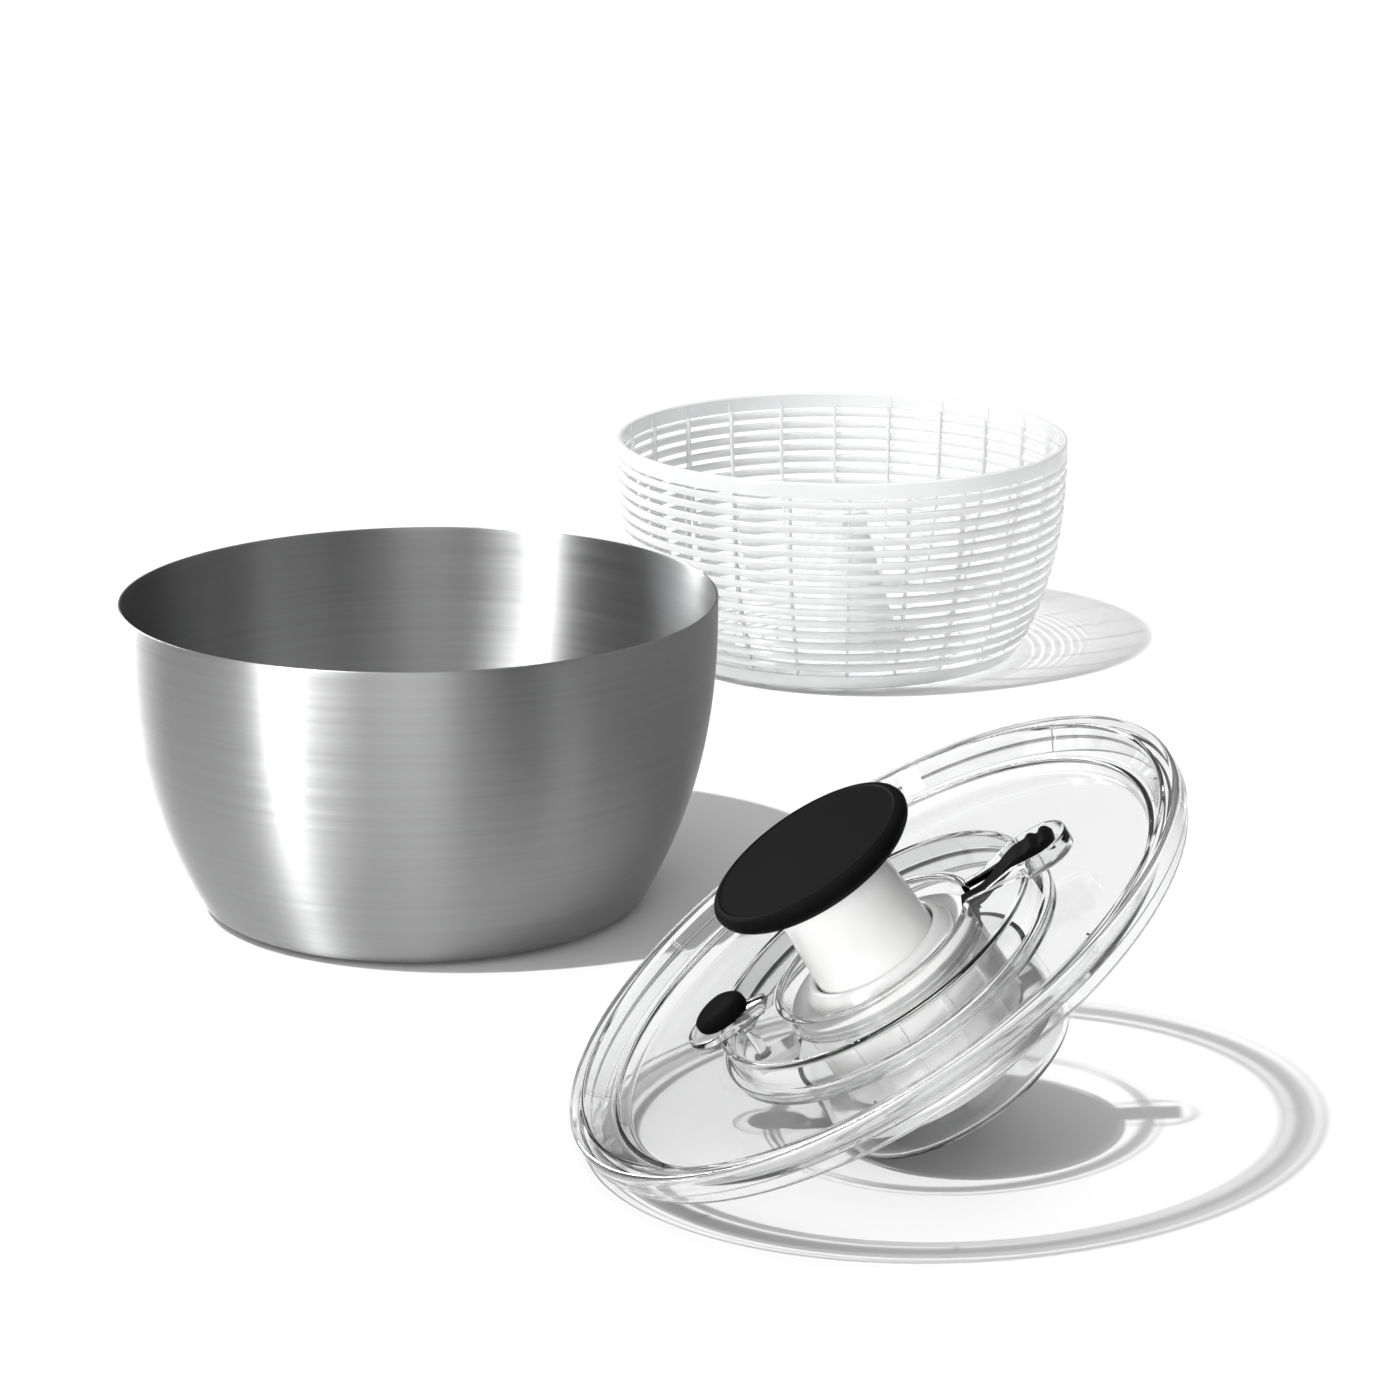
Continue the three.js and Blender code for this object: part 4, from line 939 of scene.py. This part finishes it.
# A plain turned piece is drawn from its section, whose corners are radius, height and rounding.
turningFoot = {
    "name": "turningFoot", "node": "pivot_bush", "body": "pivot", "steps": 96,
    "corners": [
        (6, 0, 0.5), (32, 0, 0.8), (32, 2.2, 0.6), (27.4, 2.2), (27.4, 9.2, 1.0), (24.5, 9.2, 0.5),
        (24.5, 3.0, 0.8), (9, 3.0, 0.8), (9, 6.5, 0.6), (6, 6.5, 0.5),
    ],
}


def makeWhitePiece(part, place):
    piece = turnedPiece(part["name"], part["corners"], place, part["steps"])
    finishPiece(piece, whiteMaterial, part["body"], "white_plastic", part["node"])


makeWhitePiece(turningFoot, basketPlace)
print("basket ready")


lidSize = {
    "radius": 130.5, "shoulder": 8.3, "spigot": 127.5, "spigotBottom": 14.5, "wall": 2.5,
    "troughTop": 124.0, "troughBottom": 117.0, "troughInner": 114.0, "troughDepth": 9.0, "disc": 112.0,
    "discDepth": 14.0, "collar": 67.0, "collarDepth": 22.0, "lip": 20.7, "ticks": 8, "tickWidth": 1.0,
    "tickDepth": 1.2, "tickOut": 2.6, "tickLift": 0.4,
}


def slopeUnder(low, high, thickness):
    # Underside of a sloping wall whose top runs from low to high, as thick as asked, square to the slope.
    run, rise = high[0] - low[0], high[1] - low[1]
    across = thickness * math.hypot(run, rise) / rise

    def radiusAt(height):
        return low[0] + across + (height - low[1]) * run / rise

    def heightAt(radius):
        return low[1] + (radius - low[0] - across) * rise / run

    return radiusAt, heightAt


def makeLidShell(size):
    wall = size["wall"]
    under = -size["discDepth"] - wall
    troughUnder = -size["troughDepth"] - wall
    spigotInner = size["spigot"] - wall
    outerFoot = (size["troughBottom"], -size["troughDepth"])
    innerFoot = (size["disc"], -size["discDepth"])
    innerHead = (size["troughInner"], -size["troughDepth"])
    outerRadiusAt, outerHeightAt = slopeUnder(outerFoot, (size["troughTop"], 0), wall)
    innerRadiusAt, innerHeightAt = slopeUnder(innerFoot, innerHead, wall)
    return turnedPiece("lidShell", [
        (size["troughTop"], 0, 0.8), (size["radius"], 0, 2.0), (size["radius"], -size["shoulder"], 0.7),
        (size["spigot"], -size["shoulder"], 0.5), (size["spigot"], -size["spigotBottom"], 0.8),
        (spigotInner, -size["spigotBottom"], 0.8), (spigotInner, outerHeightAt(spigotInner)),
        (outerRadiusAt(troughUnder), troughUnder, 0.6), (innerRadiusAt(troughUnder), troughUnder, 0.4),
        (innerRadiusAt(under), under, 1.0), (size["collar"] + wall, under, 1.0),
        (size["collar"] + wall, -size["collarDepth"], 0.6),
        (size["collar"] - wall, -size["collarDepth"], 0.4),
        (size["collar"] - wall, -size["lip"], 0.3), (size["collar"], -size["lip"], 0.2),
        (size["collar"], -size["discDepth"], 1.0), (*innerFoot, 1.2), (*innerHead, 0.7), (*outerFoot, 0.9),
    ], lidPlace, 256, 5)


def makeLidTicks(size):
    # Small ribs down the slope inside the rim.
    run = size["troughTop"] - size["troughBottom"]
    return grownPiece("lidTicks", barRing, {
        "Bar Count": size["ticks"], "Radius": size["troughBottom"] + size["tickOut"],
        "Depth": size["tickDepth"], "Width": size["tickWidth"], "Height": size["troughDepth"],
        "Foot": -size["troughDepth"] + size["tickLift"], "Lean": math.atan2(run, size["troughDepth"]),
        "Material": clearMaterial,
    }, lidPlace)


lidPieces = [makeLidShell(lidSize), makeLidTicks(lidSize)]
finishPiece(joinPieces("clearLid", lidPieces), clearMaterial, "lid", "clear_plastic", "lid_shell")
print("lid shell ready")


coverSize = {
    "radius": 66.5, "top": 4.0, "thickness": 2.2, "skirtDepth": 20.4, "well": 39.5, "wellDepth": 16.8,
    "ledge": 38.4, "ledgeTop": 14.3, "earWall": 1.6, "slotInner": 37.0, "slotOuter": 66.0, "slotHalf": 6.8,
    "dipLift": 0.9,
}
latchEar = {"inner": 40.5, "tip": 85.0, "innerHalf": 8.5, "outerHalf": 12.6, "rise": 4.8, "dip": (48.0, 62.0)}
brakeEar = {"inner": 46.0, "tip": 78.0, "innerHalf": 7.6, "outerHalf": 12.8, "rise": 2.8, "dip": (51.0, 60.0)}


def earOutline(ear, inset, sideSteps=8, tipSteps=22):
    # A channel that swells smoothly from its inner end to a round tip.
    outerHalf = ear["outerHalf"] - inset
    centre = ear["tip"] - ear["outerHalf"]
    side = []
    for i in range(sideSteps + 1):
        t = i / sideSteps
        half = ear["innerHalf"] - inset + (ear["outerHalf"] - ear["innerHalf"]) * eased(t)
        side.append((ear["inner"] + (centre - ear["inner"]) * t, half))
    arc = []
    for i in range(1, tipSteps):
        angle = math.pi / 2 - math.pi * i / tipSteps
        arc.append((centre + outerHalf * math.cos(angle), outerHalf * math.sin(angle)))
    return side + arc + [(x, -y) for x, y in reversed(side)]


def prismPiece(name, outline, low, high, turn=0.0):
    return meshObject(name, closedMesh(name, prismShape(outline, low, high)), Matrix.Rotation(turn, 4, "Z"))


def boxOutline(inner, outer, half):
    return [(inner, -half), (outer, -half), (outer, half), (inner, half)]


def sidePrism(name, outline, halfWidth, turn=0.0):
    # A bar drawn from its side as (distance from the axis, height) pairs.
    shape = bmesh.new()
    near = [shape.verts.new((x, -halfWidth, z)) for x, z in outline]
    far = [shape.verts.new((x, halfWidth, z)) for x, z in outline]
    shape.faces.new(near)
    shape.faces.new(list(reversed(far)))
    for i in range(len(outline)):
        j = (i + 1) % len(outline)
        shape.faces.new((near[i], near[j], far[j], far[i]))
    return meshObject(name, closedMesh(name, shape), Matrix.Rotation(turn, 4, "Z"))


def makeCover(size):
    under = size["top"] + size["thickness"]
    centred = Matrix.Identity(4)
    cover = turnedPiece("clearCover", [
        (size["well"], -size["top"], 0.7), (size["radius"], -size["top"], 1.2),
        (size["radius"], -size["skirtDepth"], 0.6),
        (size["radius"] - size["thickness"], -size["skirtDepth"], 0.6),
        (size["radius"] - size["thickness"], -under, 0.8), (size["well"] + size["thickness"], -under, 0.8),
        (size["well"] + size["thickness"], -size["wellDepth"], 0.5), (size["ledge"], -size["wellDepth"], 0.3),
        (size["ledge"], -size["ledgeTop"], 0.3), (size["well"], -size["ledgeTop"], 0.2),
    ], centred, 192)
    for ear, turn in ((latchEar, 0.0), (brakeEar, math.pi)):
        top = -size["top"] + ear["rise"]
        block = prismPiece("earBlock", earOutline(ear, 0), -under + 0.01, top, turn)
        bevelEdges(block, 0.6)
        pocket = prismPiece("earPocket", earOutline(ear, size["earWall"]), -size["top"] + 0.02, top + 2, turn)
        combine(block, pocket, "DIFFERENCE")
        near, far = ear["dip"]  # the walls climb from near to far
        low = -size["top"] + size["dipLift"]
        dip = [(near - 8, low), (near, low), (far, top + 0.02), (far, top + 3), (near - 8, top + 3)]
        combine(block, sidePrism("earDip", dip, 20, turn), "DIFFERENCE")
        bevelEdges(block, 0.3, 2, 60)
        combine(cover, block, "UNION")
    slotOutline = boxOutline(size["slotInner"], size["slotOuter"], size["slotHalf"])
    latchSlot = prismPiece("latchSlot", slotOutline, -size["wellDepth"] - 1, -size["top"] + 0.5)
    combine(cover, latchSlot, "DIFFERENCE")
    cover.data.transform(lidPlace)
    smoothFaces(cover.data, 40)
    return cover


finishPiece(makeCover(coverSize), clearMaterial, "lid", "clear_plastic", "cover_plate")
print("cover ready")


housingCap = {
    "name": "housingCap", "node": "housing_cap", "body": "lid", "steps": 128,
    "corners": [
        (25.3, -34, 0.4), (26.8, -34, 0.4), (26.8, -14, 0.5), (39.1, -14, 0.4), (39.1, -12, 0.7),
        (25.3, -12, 0.4),
    ],
}
makeWhitePiece(housingCap, lidPlace)

drumSize = {
    "radius": 38.0, "wall": 2.0, "top": 14.3, "bottom": 50.0, "floor": 3.0, "hole": 12.5, "ribs": 12,
    "ribDepth": 1.6, "ribWidth": 2.2, "ribShort": 7.5, "ribFoot": 2.5,
}


def makeDrum(size):
    inner, floorTop = size["radius"] - size["wall"], -size["bottom"] + size["floor"]
    drum = turnedPiece("drum", [
        (size["hole"], -size["bottom"], 0.4), (size["radius"], -size["bottom"], 1.4),
        (size["radius"], -size["top"], 0.4), (inner, -size["top"], 0.4), (inner, floorTop, 1.0),
        (size["hole"], floorTop, 0.4),
    ], lidPlace, 128)
    ribs = grownPiece("drumRibs", barRing, {
        "Bar Count": size["ribs"], "Radius": size["radius"] + 0.5, "Depth": size["ribDepth"],
        "Width": size["ribWidth"], "Height": size["bottom"] - size["top"] - size["ribShort"],
        "Foot": -size["bottom"] + size["ribFoot"], "Lean": 0.0, "Material": whiteMaterial,
    }, lidPlace)
    return joinPieces("housingDrum", [drum, ribs])


finishPiece(makeDrum(drumSize), whiteMaterial, "lid", "white_plastic", "housing_drum")

bezelRing = {
    "name": "bezelRing", "node": "bezel_ring", "body": "lid", "steps": 128,
    "corners": [
        (25.3, -11.7, 0.3), (31, -11.7, 0.4), (31, -9.6, 1.2), (28.8, -6.4, 1.6), (27.6, -5.0, 1.0),
        (25.8, -5.0, 0.7), (25.3, -6.2, 0.6),
    ],
}
hubRotor = {
    "name": "hubRotor", "node": "hub_rotor", "body": "hub", "steps": 96,
    "corners": [
        (5.6, -55.6, 0.3), (47.2, -55.6, 0.5), (47.2, -51.6, 0.5), (12, -51.6, 1.5), (12, -46.9),
        (11.2, -46.9), (11.2, -45), (12, -45), (12, -13, 0.4), (9.6, -13, 0.3), (9.6, -26.3), (5.6, -26.3),
    ],
}
for part in (bezelRing, hubRotor):
    makeWhitePiece(part, lidPlace)

cupSize = {
    "radius": 49.5, "wall": 2.0, "top": 31.5, "bottom": 68.0, "corner": 6.0, "roof": 58.0, "hexFlats": 28.8,
    "socketWall": 2.5,
}


def makeCup(size):
    inner, floorTop = size["radius"] - size["wall"], -size["bottom"] + size["wall"]
    bossTop = -size["roof"] + 2
    hexRadius = size["hexFlats"] / 2 / math.cos(math.pi / 6)
    bossRadius = hexRadius + size["socketWall"]
    centred = Matrix.Identity(4)
    cup = turnedPiece("driveCup", [
        (0, -size["bottom"]), (size["radius"], -size["bottom"], size["corner"]),
        (size["radius"], -size["top"], 0.8), (inner, -size["top"], 0.8),
        (inner, floorTop, size["corner"] - 2), (bossRadius, floorTop, 1.0), (bossRadius, bossTop, 0.8),
        (0, bossTop),
    ], centred, 128, 6)
    socket = turnedPiece("socket", [
        (0, -size["bottom"] - 1), (hexRadius, -size["bottom"] - 1), (hexRadius, -size["roof"]),
        (0, -size["roof"]),
    ], centred, 6, 1, 0.5)
    combine(cup, socket, "DIFFERENCE")
    cup.data.transform(lidPlace)
    smoothFaces(cup.data, 40)
    return cup


finishPiece(makeCup(cupSize), clearMaterial, "hub", "clear_plastic", "drive_cup")
print("housing and cup ready")


knobSize = {
    "radius": 41.0, "top": 42.0, "bottom": 29.6, "ringRadius": 37.6, "mouth": 23.2, "pocket": 30.3,
    "depth": 7.2,
}


def makeKnob(size):
    # A soft cap with a fine raised line inside its edge and a bowled underside.
    radius, top, bottom, line = size["radius"], size["top"], size["bottom"], size["ringRadius"]
    mouth, pocket, roof = size["mouth"], size["pocket"], bottom + size["depth"]
    return turnedPiece("knobPad", [
        (0, top - 0.5), (line - 0.7, top - 0.42, 0.4), (line, top - 0.05, 0.5), (line + 0.9, top - 0.3, 0.4),
        (radius - 0.9, top - 1.0, 1.0), (radius, top - 3.0, 1.6), (radius - 0.8, top - 6.0, 2.0),
        (radius - 4.0, bottom + 3.4, 2.5), (radius - 10, bottom + 0.9, 2.5), (mouth, bottom, 0.5),
        (mouth, bottom + 1.3), (pocket, bottom + 1.4), (pocket, roof), (0, roof),
    ], lidPlace, 160, 5)


finishPiece(makeKnob(knobSize), softBlackMaterial, "pump", "soft_black", "knob_pad")
knobCore = {
    "name": "knobCore", "node": "knob_core", "body": "pump", "steps": 96,
    "corners": [
        (5.4, 24.4, 0.3), (20.2, 24.4, 0.5), (20.2, 31.4, 0.2), (30, 31.4, 0.4), (30, 36.3, 0.4),
        (5.4, 36.3, 0.3),
    ],
}
makeWhitePiece(knobCore, lidPlace)

stemSize = {
    "inner": 20.5, "outer": 24.5, "neck": 22.5, "bottom": -18.0, "flange": -5.0, "top": 30.9,
    "notchHalf": 4.8, "notchLow": -12.2, "notchHigh": -9.0,
}


def makeStem(size):
    inner, outer, bottom = size["inner"], size["outer"], size["bottom"]
    stem = turnedPiece("stemSleeve", [
        (inner, bottom, 0.4), (outer, bottom, 0.6), (outer, size["flange"], 2.0),
        (size["neck"], size["top"], 0.4), (inner, size["top"], 0.3),
    ], Matrix.Identity(4), 128)
    notchOutline = boxOutline(inner - 3.5, outer + 3.5, size["notchHalf"])
    combine(stem, prismPiece("stemNotch", notchOutline, size["notchLow"], size["notchHigh"]), "DIFFERENCE")
    stem.data.transform(lidPlace)
    smoothFaces(stem.data, 40)
    return stem


finishPiece(makeStem(stemSize), whiteMaterial, "pump", "white_plastic", "stem_sleeve")

returnCoil = {
    "across": 0.0, "turns": 8.0, "radius": 17.2, "foot": -45.0, "length": 67.0, "wire": 0.85, "keep": 0.58,
}


def makeSpring(name, node, size):
    # A coil that stays on the lid, with a mesh of its own.
    place = lidPlace @ Matrix.Translation((size["across"] * millimetre, 0, 0))
    spring = grownPiece(name, coilWire, {
        "Turns": size["turns"], "Coil Radius": size["radius"], "Length": size["length"],
        "Wire Radius": size["wire"], "Foot": size["foot"], "Material": platedMaterial,
    }, place)
    finishPiece(spring, platedMaterial, "lid", "plated_steel", node)
    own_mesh(spring)


makeSpring("returnSpring", "return_spring", returnCoil)
print("pump ready")


# Each level of the button is a height and the share of the outline that it keeps.
buttonSize = {
    "centre": 61.8, "halfLength": 10.6, "halfWidth": 9.2, "bulge": 0.12, "steps": 48,
    "levels": [
        (-1.2, 0.93), (-0.7, 0.97), (0.4, 1.0), (2.0, 1.0), (3.4, 0.985), (4.3, 0.95), (4.8, 0.88),
        (5.0, 0.78), (5.02, 0.55), (5.0, 0.28),
    ],
    "dip": 0.16, "dipFoot": 2.0, "dipRise": 2.5, "crease": 1.0,
    "stem": 57.0, "stemRadius": 2.2, "stemBottom": -27.0,
}


def buttonOutline(size, shrink):
    # A rounded teardrop, blunt towards the lid's edge.
    points = []
    for i in range(size["steps"]):
        angle = 2 * math.pi * i / size["steps"]
        half = size["halfWidth"] * (1 + size["bulge"] * math.cos(angle))
        points.append((size["halfLength"] * math.cos(angle) * shrink, half * math.sin(angle) * shrink))
    return points


def makeBrakeButton(size):
    # Rings of the outline, drawn in towards the top, whose inner half dips below a crease across the middle.
    shape = bmesh.new()
    rings = []
    for height, shrink in size["levels"]:
        ring = []
        press = size["dip"] * min(max(height - size["dipFoot"], 0) / size["dipRise"], 1)
        for x, y in buttonOutline(size, shrink):
            dip = press * max(0.0, x + size["crease"])
            ring.append(shape.verts.new((-size["centre"] - x, y, height - dip)))
        rings.append(ring)
    for low, high in zip(rings, rings[1:]):
        for i in range(len(low)):
            j = (i + 1) % len(low)
            shape.faces.new((low[i], low[j], high[j], high[i]))
    shape.faces.new(rings[0])
    shape.faces.new(rings[-1])
    button = meshObject("brakeButton", closedMesh("brakeButton", shape), lidPlace)
    smoothFaces(button.data, 50)
    stemPlace = lidPlace @ Matrix.Translation((-size["stem"] * millimetre, 0, 0))
    bottom, top, radius = size["stemBottom"], size["levels"][0][0], size["stemRadius"]
    corners = [(0, bottom), (radius, bottom, 0.3), (radius, top), (0, top)]
    return button, turnedPiece("brakeStem", corners, stemPlace, 24)


brakeButton, brakeStem = makeBrakeButton(buttonSize)
finishPiece(brakeButton, softBlackMaterial, "brake", "soft_black", "brake_button")
finishPiece(brakeStem, clearMaterial, "brake", "clear_plastic", "brake_button")
brakeCoil = {
    "across": -57.0, "turns": 5.0, "radius": 3.2, "foot": -11.0, "length": 8.6, "wire": 0.4, "keep": 0.70,
}
makeSpring("brakeSpring", "brake_spring", brakeCoil)


# The latch is drawn from its side, as distances from the lid's axis and heights over its rim plane.
latchSize = {
    "halfWidth": 6.0, "legHalf": 4.0, "runSteps": 10,
    "foot": [(37.2, -17.1), (40.2, -17.1), (40.2, -10.2)],
    "under": ((43, -9.9), (62, -3.7)),
    "grip": [
        (79, -3.7), (79.4, -0.5), (78.2, 1.6), (76.6, 2.4), (75.2, 2.0), (74.2, 0.9), (73.2, 0.9),
        (72.2, 2.0), (71.0, 2.5), (69.8, 2.0), (68.8, 1.3),
    ],
    "over": ((66, 1.2), (44, -6.4)),
    "end": [(37.2, -6.4)],
    "leg": [
        (27.3, -38.6), (35, -38.6), (35, -17.1), (39.9, -17.1), (39.9, -14.6), (33, -14.6), (33, -36.6),
        (27.3, -36.6),
    ],
}


def easedLine(start, end, steps):
    # An S-shaped run between two points, level at both ends.
    shares = [i / steps for i in range(steps + 1)]
    return [(start[0] + (end[0] - start[0]) * t, start[1] + (end[1] - start[1]) * eased(t)) for t in shares]


def makeLatch(size):
    under, over = (easedLine(*size[run], size["runSteps"]) for run in ("under", "over"))
    outline = size["foot"] + under + size["grip"] + over + size["end"]
    bar = sidePrism("latchSlider", outline, size["halfWidth"])
    combine(bar, sidePrism("latchLeg", size["leg"], size["legHalf"]), "UNION")
    bevelEdges(bar, 0.6, 3, 40)
    bar.data.transform(lidPlace)
    smoothFaces(bar.data, 45)
    return bar


finishPiece(makeLatch(latchSize), softBlackMaterial, "latch", "soft_black", "latch_slider")
print("brake and latch ready")


keptFinishes = {
    "drive_screw": platedMaterial, "knob_screw": platedMaterial, "clutch_ring": platedMaterial,
    "nut_keeper": platedMaterial, "retaining_ring": platedMaterial,
    "screw_nut": whiteMaterial, "brake_arm": whiteMaterial, "brake_pad": whiteMaterial,
}
for number in range(1, 5):
    keptFinishes[f"housing_screw_{number}"] = platedMaterial
for node, material in keptFinishes.items():
    for materialSlot in frame["nodes"][node].material_slots:
        materialSlot.material = material
print("kept pieces finished")
